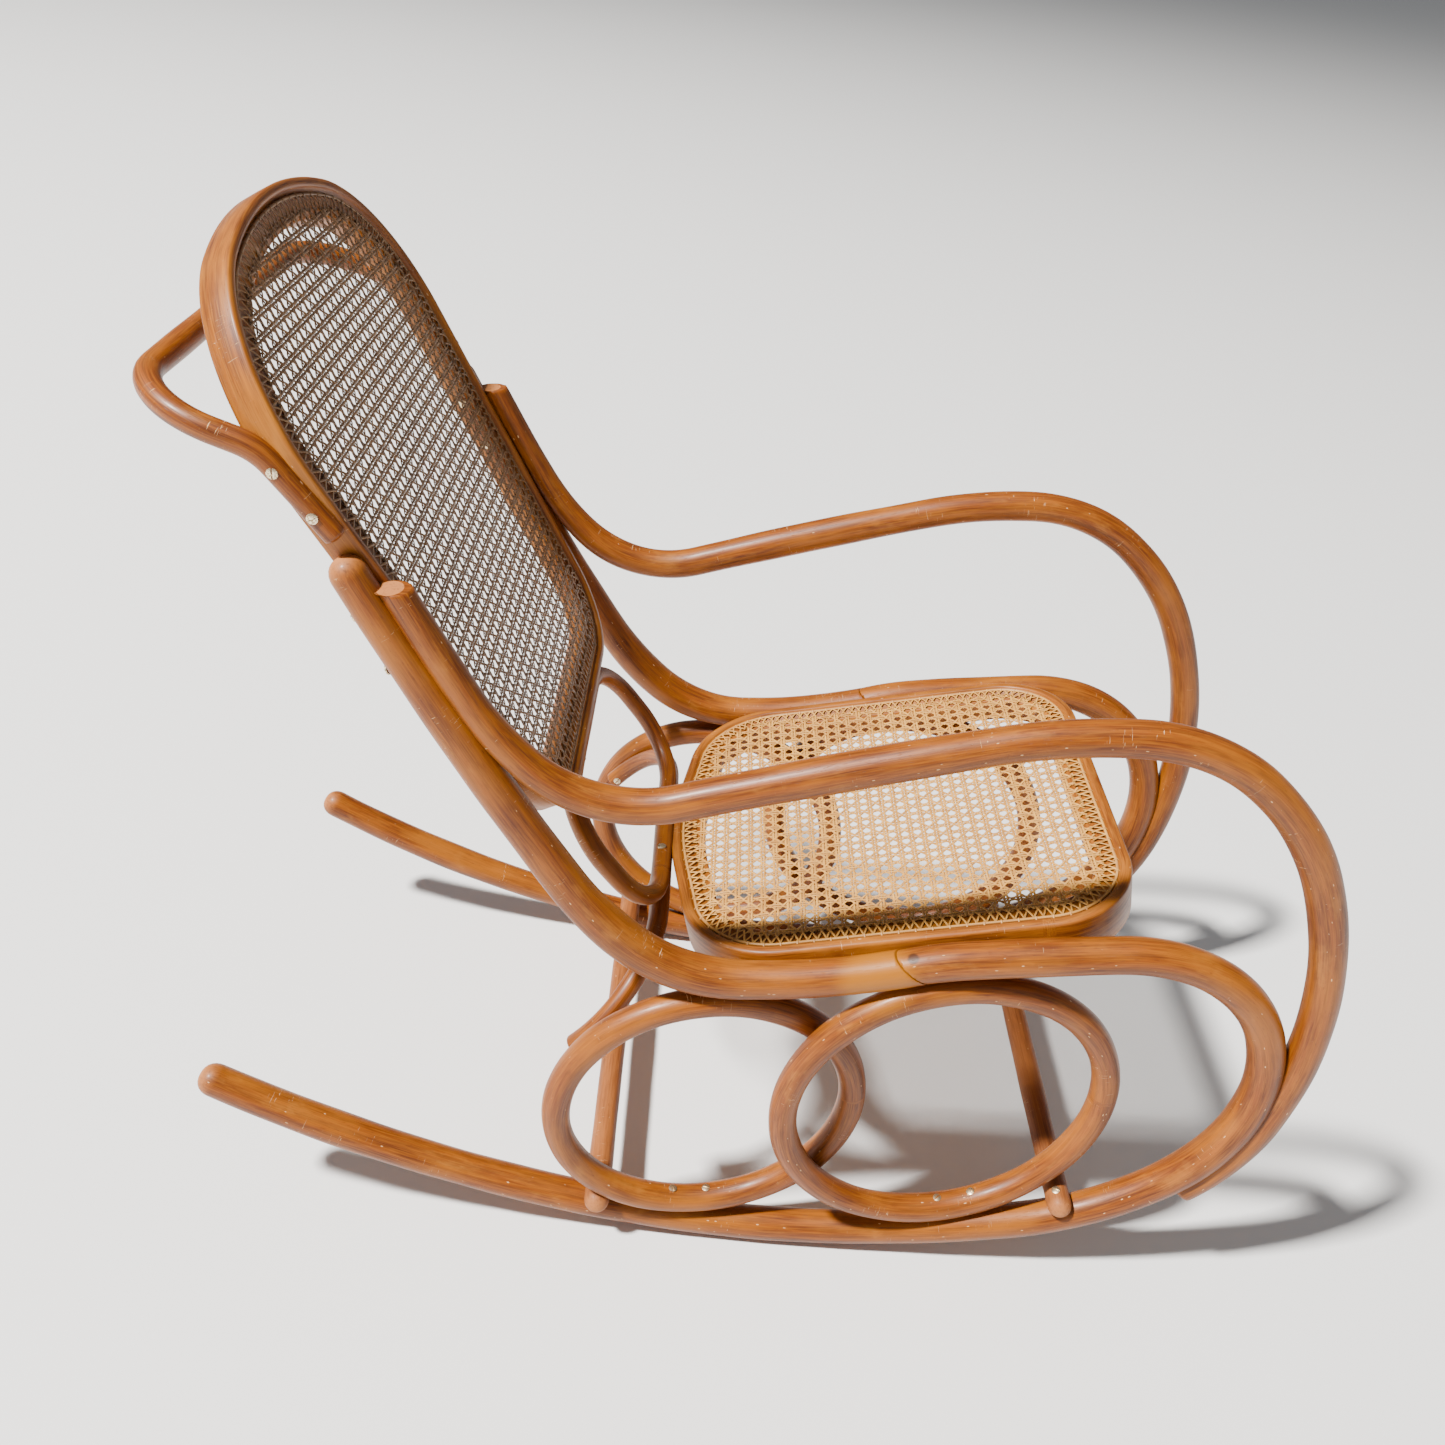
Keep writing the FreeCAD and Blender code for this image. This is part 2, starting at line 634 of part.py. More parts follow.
bar = FreeCAD.Vector(0, -ring_bar_screw_at, 0)
back_ring_screws = [
    (ring_top + bar - back_ring_up * (back_ring_r - screw_sink), back_ring_up, back_ring_d + thread_bite),
    (ring_bottom + bar + Z * (back_ring_r - screw_sink), Z * -1.0, back_ring_d + thread_bite),
]
bow_leg_screws = [(bow_bend + Y * (bow_rod_r - screw_sink), Y * -1.0, bow_d + thread_bite)]
seat_way = seat_place.Rotation.multVec(X)
bow_seat_screw = (bow_cross - seat_way * (bow_rod_r - screw_sink), seat_way, bow_d + apron_t * 0.75)


def drilled(shape, *groups):
    holes = [screw_hole(*screw) for group in groups for screw in group]
    return shape.cut(holes)


def drilled_both(shape, *groups):
    holes = [screw_hole(*screw) for group in groups for screw in group]
    return shape.cut(holes + [mirrored(hole) for hole in holes])


def screws(group):
    return Part.Compound([slotted_screw(*screw) for screw in group])


def screws_both(group):
    one = [slotted_screw(*screw) for screw in group]
    return Part.Compound(one + [mirrored(screw) for screw in one])


post = drilled(post, arm_screws, back_screws)
runner = drilled(runner, ring_screws, arm_foot_screws, stretcher_screws, seat_screws)
arm = drilled(arm, arm_screws, arm_foot_screws)
ring_rear = drilled(ring_rear, ring_screws[:2], bow_leg_screws)
ring_front = drilled(ring_front, ring_screws[2:])
sides = {
    "post": post,
    "runner": runner,
    "arm": arm,
    "ring_rear": ring_rear,
    "ring_front": ring_front,
    "ring_screws": screws(ring_screws),
    "arm_screws": screws(arm_screws),
    "arm_foot_screws": screws(arm_foot_screws),
}
bow_hole = screw_hole(*bow_seat_screw)
nodes = {
    "stretcher_rear": drilled_both(stretcher_rear, stretcher_screws[1:]),
    "stretcher_front": drilled_both(stretcher_front, stretcher_screws[:1]),
    "seat_frame": drilled_both(seat_frame, seat_screws).cut(bow_hole),
    "seat_cane": seat_cane,
    "seat_binder": seat_binder,
    "back_frame": drilled_both(back_frame, back_screws, loop_screws, back_ring_screws[:1]),
    "back_cane": back_cane,
    "back_binder": back_binder,
    "head_loop": drilled_both(head_loop, loop_screws),
    "back_ring": drilled_both(back_ring, back_ring_screws),
    "seat_bow": drilled_both(seat_bow, back_ring_screws[1:], bow_leg_screws).cut(bow_hole),
    "stretcher_screws": screws_both(stretcher_screws),
    "loop_screws": screws_both(loop_screws),
    "back_screws": screws_both(back_screws),
    "seat_screws": screws_both(seat_screws),
    "back_ring_screws": screws_both(back_ring_screws),
    "bow_screws": Part.Compound([screws_both(bow_leg_screws), slotted_screw(*bow_seat_screw)]),
}
for name, shape in sides.items():
    nodes[name + "_right"] = shape
    nodes[name + "_left"] = mirrored(shape)

# into the pose at rest, standing on the floor and centred
# The empty chair rolls until its centre of mass hangs straight below the rocker's centre.
mass = 0.0
moment = FreeCAD.Vector(0, 0, 0)
for name, shape in nodes.items():
    weight = screw_weight if "screw" in name else cane_weight if "cane" in name else wood_weight
    for solid in shape.Solids:
        mass += solid.Volume * weight
        moment += solid.CenterOfMass * (solid.Volume * weight)
hang = moment * (1.0 / mass) - runner_centres[5]
rest_pitch = math.degrees(math.atan2(hang.x, -hang.z))
tipped = FreeCAD.Placement(FreeCAD.Vector(0, 0, 0), FreeCAD.Rotation(Y, rest_pitch))
nodes = {name: placed(shape, tipped) for name, shape in nodes.items()}
box = FreeCAD.BoundBox()
for shape in nodes.values():
    box.add(shape.optimalBoundingBox(False))
stand = FreeCAD.Placement(FreeCAD.Vector(-box.Center.x, 0, -box.ZMin), FreeCAD.Rotation())

os.makedirs("parts", exist_ok=True)
for name, shape in sorted(nodes.items()):
    placed(shape, stand).exportStep("parts/" + name + ".step")
    print(name, len(shape.Solids), shape.isValid(), round(shape.Volume))
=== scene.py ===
import bpy
from mathutils import Matrix
import numpy as np


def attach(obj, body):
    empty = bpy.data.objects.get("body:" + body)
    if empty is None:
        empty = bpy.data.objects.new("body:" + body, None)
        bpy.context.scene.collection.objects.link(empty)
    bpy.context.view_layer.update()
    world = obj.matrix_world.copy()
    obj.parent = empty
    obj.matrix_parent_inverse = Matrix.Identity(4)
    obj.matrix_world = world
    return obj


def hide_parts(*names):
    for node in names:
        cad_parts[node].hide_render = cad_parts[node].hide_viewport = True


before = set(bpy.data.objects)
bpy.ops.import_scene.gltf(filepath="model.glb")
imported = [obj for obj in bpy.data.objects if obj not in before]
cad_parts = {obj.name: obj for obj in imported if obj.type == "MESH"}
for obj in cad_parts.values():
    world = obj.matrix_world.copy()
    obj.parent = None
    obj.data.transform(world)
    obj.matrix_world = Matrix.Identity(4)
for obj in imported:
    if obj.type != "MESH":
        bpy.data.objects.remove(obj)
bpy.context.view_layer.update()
print("frame loaded", len(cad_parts), "nodes")

# Pieces are laid out like the drawing of the chair, in millimetres with x ahead and z up, and
# then tipped back by restPose into the pose in which the empty chair balances.
restPose = {"tip": -6.867, "moveX": 19.83, "moveZ": -7.49, "sideY": 230.5}
tipAngle = np.radians(restPose["tip"])
yAxis = np.array([0.0, 1.0, 0.0])
# long waves make every rod a little uneven, and the shifts give each piece and strip its own grain
handMade = {"waves": (230.0, 97.0), "wobble": 0.25, "phase": 2.4, "grainShift": 137.0, "stripShift": 7.3,
            "strapGrain": 20.0}
pieceCount = [0]


def toRoom(points):  # tips, moves and scales drawing points to metres
    p = np.asarray(points, dtype=float)
    x = p[..., 0] * np.cos(tipAngle) + p[..., 2] * np.sin(tipAngle) + restPose["moveX"]
    z = p[..., 2] * np.cos(tipAngle) - p[..., 0] * np.sin(tipAngle) + restPose["moveZ"]
    return np.stack([x, p[..., 1], z], -1) * 0.001


def unit(v):
    return v / np.linalg.norm(v, axis=-1, keepdims=True)


def heading(degrees):
    a = np.radians(degrees)
    return np.array([np.cos(a), 0.0, np.sin(a)])


def bendChain(start, angle, bends, y, step=4.0):
    # tangent arcs one after another: centre plus radius times a turning spoke, in the x-z plane
    point = np.array([start[0], y, start[1]], dtype=float)
    runs = [point[None]]
    for size, turn in bends:
        if turn:
            side = np.sign(turn)
            centre = point + heading(angle + 90 * side) * size
            count = max(3, int(abs(np.radians(turn)) * size / step))
            a = np.radians(angle - 90 * side + np.linspace(0, turn, count + 1)[1:])
            run = centre + size * np.stack([np.cos(a), 0 * a, np.sin(a)], -1)
            angle += turn
        else:
            count = max(2, int(size / step))
            run = point + np.linspace(0, size, count + 1)[1:, None] * heading(angle)
        runs.append(run)
        point = run[-1]
    return np.concatenate(runs), angle


def acrossBend(point, way, cornerR, step=3.0):
    # quarter circle from the direction way into +Y, then a straight bar to the middle plane
    count = int(cornerR * np.pi / 2 / step)
    a = np.linspace(0, np.pi / 2, count + 1)[1:, None]
    curve = point + cornerR * (np.sin(a) * way + (1 - np.cos(a)) * yAxis)
    t = np.linspace(0, 1, max(3, int(abs(curve[-1, 1]) / 8)) + 1)[1:, None]
    bar = curve[-1] + t * np.array([0.0, -curve[-1, 1], 0.0])
    return np.concatenate([curve, bar])


def mirrored(points):
    return np.asarray(points) * np.array([1.0, -1.0, 1.0])


def bothHalves(half):  # the half path, then its mirror image run backwards
    return np.concatenate([half, mirrored(half[:-1][::-1])])


def roundedLoop(corners, step=6.0):
    # closed outline of straight sides and tangent corner arcs, from (x, y, radius) corners
    pts = np.array([c[:2] for c in corners], dtype=float)
    radii = np.array([c[2] for c in corners], dtype=float)
    before = unit(np.roll(pts, 1, 0) - pts)
    after = unit(np.roll(pts, -1, 0) - pts)
    half = np.arccos(np.clip((before * after).sum(-1), -1, 1)) / 2
    centre = pts + unit(before + after) * (radii / np.sin(half))[:, None]
    start = pts + before * (radii / np.tan(half))[:, None]
    end = pts + after * (radii / np.tan(half))[:, None]
    a0 = np.arctan2(*(start - centre).T[::-1])
    sweepBy = (np.arctan2(*(end - centre).T[::-1]) - a0 + np.pi) % (2 * np.pi) - np.pi
    runs = []
    for i in range(len(pts)):
        n = max(4, int(abs(sweepBy[i]) * radii[i] / step))
        a = a0[i] + np.linspace(0, sweepBy[i], n + 1)
        runs.append(centre[i] + radii[i] * np.stack([np.cos(a), np.sin(a)], -1))
        gap = start[(i + 1) % len(pts)] - end[i]
        m = max(2, int(np.linalg.norm(gap) / 12))
        runs.append(end[i] + np.linspace(0, 1, m + 1)[1:-1, None] * gap)
    return np.concatenate(runs)


def insetLoop(loop, distance):  # every point moved inwards along the loop's normal
    along = unit(np.roll(loop, -1, 0) - np.roll(loop, 1, 0))
    area = np.sum(loop[:, 0] * np.roll(loop[:, 1], -1) - np.roll(loop[:, 0], -1) * loop[:, 1])
    inward = np.stack([-along[:, 1], along[:, 0]], -1) * np.sign(area)
    return loop + inward * distance


def pathLength(path, closed=False):
    nxt = np.roll(path, -1, 0) if closed else path[1:]
    gaps = np.linalg.norm(nxt - path[:len(nxt)], axis=-1)
    return np.concatenate([[0.0], np.cumsum(gaps)])[:len(path)], gaps.sum()


def gridFaces(rows, cols, closeRows=False, closeCols=False):
    # quads between neighbouring rows and columns of a vertex grid
    r = np.arange(rows if closeRows else rows - 1)[:, None]
    c = np.arange(cols if closeCols else cols - 1)[None]
    r1, c1 = (r + 1) % rows, (c + 1) % cols
    quads = np.stack([r * cols + c, r1 * cols + c, r1 * cols + c1, r * cols + c1], -1)
    return quads.reshape(-1, 4)


def makeMesh(name, verts, quads, grain, tris=None, bare=None, smooth=True):
    # arrays straight into the mesh; grain is where each point lay in the straight, unbent stick
    tris = np.zeros((0, 3), int) if tris is None else tris
    q, t = verts[quads], verts[tris]
    volume = (np.einsum("ij,ij->i", q[:, 0], np.cross(q[:, 1], q[:, 2])).sum()
              + np.einsum("ij,ij->i", q[:, 0], np.cross(q[:, 2], q[:, 3])).sum()
              + np.einsum("ij,ij->i", t[:, 0], np.cross(t[:, 1], t[:, 2])).sum())
    if volume < 0:  # faces point outwards
        quads, tris = quads[:, ::-1], tris[:, ::-1]
    mesh = bpy.data.meshes.new(name)
    mesh.vertices.add(len(verts))
    mesh.vertices.foreach_set("co", toRoom(verts).astype(np.float32).ravel())
    loops = np.concatenate([quads.ravel(), tris.ravel()]).astype(np.int32)
    sizes = np.concatenate([np.full(len(quads), 4), np.full(len(tris), 3)])
    starts = np.concatenate([[0], np.cumsum(sizes)[:-1]]).astype(np.int32)
    mesh.loops.add(len(loops))
    mesh.loops.foreach_set("vertex_index", loops)
    mesh.polygons.add(len(sizes))
    mesh.polygons.foreach_set("loop_start", starts)
    mesh.polygons.foreach_set("use_smooth", np.full(len(sizes), smooth))
    layer = mesh.attributes.new("grain", "FLOAT_VECTOR", "POINT")
    layer.data.foreach_set("vector", (grain * 0.001).astype(np.float32).ravel())
    layer = mesh.attributes.new("bare", "FLOAT", "POINT")
    bare = np.zeros(len(verts)) if bare is None else bare
    layer.data.foreach_set("value", bare.astype(np.float32))
    mesh.update(calc_edges=True)
    obj = bpy.data.objects.new(name + "_detail", mesh)
    bpy.context.scene.collection.objects.link(obj)
    return obj


def finishPiece(obj, material, nodes):
    obj.data.materials.clear()
    obj.data.materials.append(material)
    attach(obj, "root")
    if nodes:
        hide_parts(*nodes)
    return obj


def endCap(kind):  # how far past the end each extra ring lies, and how much of the radius is left
    if kind == "dome":
        a = np.radians([12, 26, 40, 54, 67, 78, 86])
        return np.sin(a), np.cos(a) ** 0.8
    if kind == "cut":
        return np.array([0.02, 0.06, 0.075, 0.08]), np.array([0.99, 0.95, 0.8, 0.4])
    if kind == "blunt":
        a = np.radians([15, 32, 50, 68, 84])
        return 0.45 * np.sin(a), np.cos(a) ** 0.8
    return np.array([0.001]), np.array([0.4])


def baldness(kind, count):  # a cut end is bare wood all over, a dome mostly at its tip
    if kind == "cut":
        return np.full(count, 0.8)
    return np.linspace(0.1, 0.9, count) * (kind == "dome")


def roundRod(name, path, reference, radii, ends=("dome", "dome"), closed=False, around=28, shape=None):
    # circle of radius r(s) carried along the path; dome ends shrink r by the cosine of a quarter turn
    pieceCount[0] += 1
    if closed:
        tangent = unit(np.roll(path, -1, 0) - np.roll(path, 1, 0))
    else:
        tangent = unit(np.gradient(path, axis=0))
    s, total = pathLength(path, closed)
    r = np.interp(s / total, np.linspace(0, 1, len(radii)), radii)
    phase = pieceCount[0] * handMade["phase"]
    waves = 2 * np.pi * np.round(total / np.array(handMade["waves"])) / total
    uneven = np.sin(waves[0] * s + phase) + 0.5 * np.sin(waves[1] * s + 2.1 * phase)
    r = r + handMade["wobble"] * uneven
    bare = np.zeros(len(s))
    for kind, sign in zip(() if closed else ends, (-1, 1)):
        # the rows are turned so that this end comes last, get its cap, and are turned back
        path, s, r, tangent, bare = (v[::sign] for v in (path, s, r, tangent, bare))
        reach, shrink = endCap(kind)
        path = np.concatenate([path, path[-1] + sign * tangent[-1] * (reach * r[-1])[:, None]])
        s = np.concatenate([s, s[-1] + sign * reach * r[-1]])
        r = np.concatenate([r, shrink * r[-1]])
        tangent = np.concatenate([tangent, np.repeat(tangent[-1:], len(reach), 0)])
        bare = np.concatenate([bare, baldness(kind, len(reach))])
        path, s, r, tangent, bare = (v[::sign] for v in (path, s, r, tangent, bare))
    ref = np.asarray(reference, dtype=float)
    u = unit(ref - (tangent @ ref)[:, None] * tangent)
    v = np.cross(tangent, u)
    a = np.linspace(0, 2 * np.pi, around, endpoint=False)
    ring = np.cos(a)[None, :, None] * u[:, None] + np.sin(a)[None, :, None] * v[:, None]
    verts = path[:, None] + r[:, None, None] * ring
    if shape is not None:
        verts = shape(verts, s, total)
    shift = pieceCount[0] * handMade["grainShift"]
    grain = np.stack([np.cos(a)[None] * r[:, None] + shift, np.sin(a)[None] * r[:, None],
                      np.repeat(s[:, None], around, 1)], -1)
    rows = len(path)
    quads = gridFaces(rows, around, closed, True)[:, ::-1]
    verts, grain = verts.reshape(-1, 3), grain.reshape(-1, 3)
    bare = np.repeat(bare, around)
    if closed:
        return makeMesh(name, verts, quads, grain, bare=bare)
    c = np.arange(around)
    after = (c + 1) % around
    lastRow = (rows - 1) * around
    firstFan = np.stack([np.full(around, len(verts)), after, c], -1)
    lastFan = np.stack([c + lastRow, after + lastRow, np.full(around, len(verts) + 1)], -1)
    poles = np.stack([verts[:around].mean(0), verts[lastRow:].mean(0)])
    poleGrain = np.array([[shift, 0, s[0]], [shift, 0, s[-1]]])
    return makeMesh(name, np.concatenate([verts, poles]), quads, np.concatenate([grain, poleGrain]),
                    np.concatenate([firstFan, lastFan]), np.concatenate([bare, bare[[0, -1]]]))


def bandAlong(name, loop, profile, place):
    # profile of (inset, height) points carried round a flat outline, then laid into place
    pieceCount[0] += 1
    insets, heights = np.array(profile, dtype=float).T
    rings = np.stack([insetLoop(loop, d) for d in insets], 1)
    rise = np.broadcast_to(heights, rings.shape[:2])
    local = np.concatenate([rings, rise[..., None]], -1)
    s, _ = pathLength(loop, True)
    shift = pieceCount[0] * handMade["grainShift"]
    grain = np.stack([np.broadcast_to(insets + shift, rise.shape), rise,
                      np.broadcast_to(s[:, None], rise.shape)], -1)
    quads = gridFaces(len(loop), len(profile), True, True)
    return makeMesh(name, place(local.reshape(-1, 3)), quads, grain.reshape(-1, 3))


def layFlat(origin, angle):  # carries (along, across, up) of a tilted panel into the drawing
    along, up = heading(angle), heading(angle + 90)

    def place(local):
        local = np.asarray(local, dtype=float)
        return (np.array(origin, dtype=float) + local[..., :1] * along
                + local[..., 1:2] * yAxis + local[..., 2:3] * up)
    return place


def makeGroup(name, inputs, outputs):
    group = bpy.data.node_groups.new(name, "ShaderNodeTree")
    for label, kind in inputs:
        group.interface.new_socket(label, in_out="INPUT", socket_type=kind)
    for label, kind in outputs:
        group.interface.new_socket(label, in_out="OUTPUT", socket_type=kind)
    return group, group.nodes.new("NodeGroupInput"), group.nodes.new("NodeGroupOutput")


def feed(tree, socket, value):  # a link from another node's socket, or a plain value
    if isinstance(value, bpy.types.NodeSocket):
        tree.links.new(value, socket)
    else:
        socket.default_value = value


def addNode(tree, kind, settings=None, **links):
    # one node with its settings; links are fed by input name, or as i0, i1 by input number
    node = tree.nodes.new(kind)
    for key, value in (settings or {}).items():
        setattr(node, key, value)
    for key, value in links.items():
        byNumber = key[0] == "i" and key[1:].isdigit()
        feed(tree, node.inputs[int(key[1:]) if byNumber else key], value)
    return node


def stretched(tree, vector, scale):
    return addNode(tree, "ShaderNodeMapping", {"vector_type": "POINT"}, Vector=vector, Scale=scale).outputs[0]


def noise(tree, vector, scale, detail, rough, distort=0.0):
    return addNode(tree, "ShaderNodeTexNoise", Vector=vector, Scale=scale, Detail=detail,
                   Roughness=rough, Distortion=distort).outputs["Fac"]


def fibreNoise(tree, vector, kind):
    stretch, detail, rough, distort = fibres[kind]
    return noise(tree, stretched(tree, vector, stretch), 1.0, detail, rough, distort)


def ramp(tree, value, low, high, outLow=0.0, outHigh=1.0):
    limits = {"From Min": low, "From Max": high, "To Min": outLow, "To Max": outHigh}
    settings = {"interpolation_type": "SMOOTHSTEP"}
    return addNode(tree, "ShaderNodeMapRange", settings, Value=value, **limits).outputs[0]


def mathOf(tree, operation, first, second=0.0):
    return addNode(tree, "ShaderNodeMath", {"operation": operation}, i0=first, i1=second).outputs[0]


def mixColor(tree, factor, first, second):
    node = addNode(tree, "ShaderNodeMix", {"data_type": "RGBA"})
    for index, value in ((0, factor), (6, first), (7, second)):  # 6 and 7 are the two colour inputs
        feed(tree, node.inputs[index], value)
    return node.outputs[2]


# repeats per metre twice across and once along the fibres, then detail, roughness and distortion
fibres = {"streak": ((260, 260, 11), 5.0, 0.65, 0.35), "fine": ((900, 900, 30), 2.0, 0.6, 0.0),
          "pores": ((1500, 1500, 120), 1.0, 0.5, 0.0), "patch": ((26, 26, 9), 3.0, 0.55, 0.0),
          "ragged": ((700, 700, 260), 2.0, 0.55, 0.0), "lines": ((60, 60, 900), 1.0, 0.4, 1.5),
          "lineWhere": ((30, 30, 22), 2.0, 0.55, 0.0), "rub": ((34, 34, 14), 4.0, 0.65, 0.0),
          "caneLong": ((500, 500, 14), 3.0, 0.6, 0.0), "caneFibre": ((2600, 2600, 60), 1.0, 0.55, 0.0)}


def buildGrainGroup():
    # long streaks, short pores and broad patches of tone, all in the unbent stick's own directions
    group, given, result = makeGroup(
        "bentWoodGrain",
        [("Grain", "NodeSocketVector"), ("Light", "NodeSocketColor"), ("Middle", "NodeSocketColor"),
         ("Dark", "NodeSocketColor"), ("Patchiness", "NodeSocketFloat")],
        [("Color", "NodeSocketColor"), ("Height", "NodeSocketFloat"), ("Streak", "NodeSocketFloat")])
    at = given.outputs
    streak, fine, pores, patch = (fibreNoise(group, at["Grain"], kind)
                                  for kind in ("streak", "fine", "pores", "patch"))
    color = mixColor(group, ramp(group, streak, 0.32, 0.68), at["Dark"], at["Middle"])
    color = mixColor(group, ramp(group, fine, 0.35, 0.75, 0.0, 0.45), color, at["Light"])
    tone = mathOf(group, "MULTIPLY", ramp(group, patch, 0.4, 0.72), at["Patchiness"])
    color = mixColor(group, tone, color, at["Light"])
    poreMask = ramp(group, pores, 0.66, 0.74, 0.0, 0.5)
    color = mixColor(group, poreMask, color, at["Dark"])
    group.links.new(color, result.inputs["Color"])
    height = mathOf(group, "SUBTRACT", mathOf(group, "MULTIPLY", fine, 0.5), poreMask)
    group.links.new(height, result.inputs["Height"])
    group.links.new(streak, result.inputs["Streak"])
    return group


def buildWearGroup():
    # pale nicks and rubbed patches: cell dots that few cells show, and thresholded soft noise
    group, given, result = makeGroup(
        "nicksAndRubs", [("Grain", "NodeSocketVector"), ("Amount", "NodeSocketFloat")],
        [("Nicks", "NodeSocketFloat"), ("Rubbed", "NodeSocketFloat")])
    at = given.outputs
    cells = addNode(group, "ShaderNodeTexVoronoi", {"feature": "F1"},
                    Vector=stretched(group, at["Grain"], (210, 210, 70)), Scale=1.0)
    cellTone = addNode(group, "ShaderNodeSeparateColor", i0=cells.outputs["Color"]).outputs[0]
    chosen = ramp(group, cellTone, 0.80, 0.84)
    ragged = fibreNoise(group, at["Grain"], "ragged")
    near = mathOf(group, "ADD", cells.outputs["Distance"], mathOf(group, "MULTIPLY", ragged, 0.22))
    nicks = mathOf(group, "MULTIPLY", ramp(group, near, 0.24, 0.17), chosen)
    lines, lineWhere = (fibreNoise(group, at["Grain"], kind) for kind in ("lines", "lineWhere"))
    scratch = mathOf(group, "MULTIPLY", ramp(group, lines, 0.71, 0.74), ramp(group, lineWhere, 0.55, 0.65))
    group.links.new(mathOf(group, "MULTIPLY", mathOf(group, "MAXIMUM", nicks, scratch), at["Amount"]),
                    result.inputs["Nicks"])
    rub = fibreNoise(group, at["Grain"], "rub")
    group.links.new(mathOf(group, "MULTIPLY", ramp(group, rub, 0.56, 0.72), at["Amount"]),
                    result.inputs["Rubbed"])
    return group


grainGroup = buildGrainGroup()
wearGroup = buildWearGroup()


def useGroup(tree, group, **values):
    node = tree.nodes.new("ShaderNodeGroup")
    node.node_tree = group
    for key, value in values.items():
        feed(tree, node.inputs[key], value)
    return node.outputs


def newMaterial(name):
    material = bpy.data.materials.new(name)
    material.use_nodes = True
    tree = material.node_tree
    tree.nodes.clear()
    shader = tree.nodes.new("ShaderNodeBsdfPrincipled")
    out = tree.nodes.new("ShaderNodeOutputMaterial")
    tree.links.new(shader.outputs[0], out.inputs[0])
    return material, tree, shader


def readAttribute(tree, name, output):
    return addNode(tree, "ShaderNodeAttribute", {"attribute_name": name}).outputs[output]


# where the near scarf has its yellow stretch and its knot: place in metres, radius, softness, colour
markSpots = [((0.100, -0.246, 0.411), 0.030, 0.8, "yellow"),
             ((0.129, -0.237, 0.436), 0.0055, 0.5, "knot")]


def woodMaterial(name, look):
    material, tree, shader = newMaterial(name)
    grain = readAttribute(tree, "grain", "Vector")
    bare = readAttribute(tree, "bare", "Fac")
    wood = useGroup(tree, grainGroup, Grain=grain, Light=look["light"], Middle=look["middle"],
                    Dark=look["dark"], Patchiness=look["patchiness"])
    wear = useGroup(tree, wearGroup, Grain=grain, Amount=look["wear"])
    rubbed = mathOf(tree, "MULTIPLY", wear["Rubbed"], look["rubShare"])
    color = mixColor(tree, rubbed, wood["Color"], look["rubbed"])
    color = mixColor(tree, wear["Nicks"], color, look["nick"])
    place = addNode(tree, "ShaderNodeTexCoord").outputs["Object"]
    for spot, size, soft, tint in markSpots:
        apart = addNode(tree, "ShaderNodeVectorMath", {"operation": "DISTANCE"}, i0=place, i1=spot)
        ragged = mathOf(tree, "MULTIPLY", wood["Streak"], size * 0.5)
        reach = mathOf(tree, "ADD", apart.outputs["Value"], ragged)
        inside = ramp(tree, reach, size * (1 + soft), size, 0.0, 0.85)
        color = mixColor(tree, inside, color, look[tint])
    bareEdge = mathOf(tree, "MULTIPLY", bare, ramp(tree, wood["Streak"], 0.3, 0.5, 0.55, 1.0))
    color = mixColor(tree, bareEdge, color, look["bareEnd"])
    tree.links.new(color, shader.inputs["Base Color"])
    sheen = ramp(tree, wood["Streak"], 0.3, 0.7, look["rough"] + 0.06, look["rough"])
    worn = mathOf(tree, "MAXIMUM", wear["Nicks"], bareEdge)
    rough = mathOf(tree, "ADD", sheen, mathOf(tree, "MULTIPLY", worn, look["wornRough"]))
    tree.links.new(rough, shader.inputs["Roughness"])
    sunk = mathOf(tree, "MULTIPLY", wear["Nicks"], look["nickDepth"])
    height = mathOf(tree, "SUBTRACT", wood["Height"], sunk)
    bump = addNode(tree, "ShaderNodeBump", Strength=look["bump"], Distance=0.0004, Height=height)
    tree.links.new(bump.outputs[0], shader.inputs["Normal"])
    shader.inputs["Coat Weight"].default_value = look["coat"]
    shader.inputs["Specular IOR Level"].default_value = look["gloss"]
    shader.inputs["Coat Roughness"].default_value = 0.22
    return material


honeyWood = {"light": (0.36, 0.112, 0.005, 1), "middle": (0.205, 0.047, 0.0018, 1),
             "dark": (0.07, 0.013, 0.0008, 1), "patchiness": 0.6, "bareEnd": (0.45, 0.17, 0.05, 1),
             "yellow": (0.34, 0.115, 0.002, 1), "knot": (0.03, 0.008, 0.002, 1),
             "wear": 0.85, "rubbed": (0.46, 0.175, 0.022, 1), "rubShare": 0.35,
             "nick": (0.70, 0.42, 0.20, 1), "nickDepth": 1.4, "wornRough": 0.3,
             "rough": 0.42, "bump": 0.45, "coat": 0.08, "gloss": 0.3}
pinkWood = {**honeyWood, "light": (0.36, 0.125, 0.03, 1), "middle": (0.22, 0.064, 0.013, 1),
            "dark": (0.11, 0.028, 0.005, 1), "rough": 0.5, "coat": 0.02}
panelWood = {**honeyWood, "light": (0.42, 0.15, 0.014, 1), "middle": (0.24, 0.064, 0.004, 1),
             "dark": (0.095, 0.02, 0.0015, 1), "patchiness": 0.65}
materials = {"rod": woodMaterial("honeyBentWood", honeyWood),
             "stretcher": woodMaterial("pinkTurnedWood", pinkWood),
             "panel": woodMaterial("panelFrameWood", panelWood)}
print("wood materials ready")


def bentRod(name, *shape, **options):  # a rod of bent wood, standing for the node of its own name
    finishPiece(roundRod(name, *shape, **options), materials["rod"], [name])


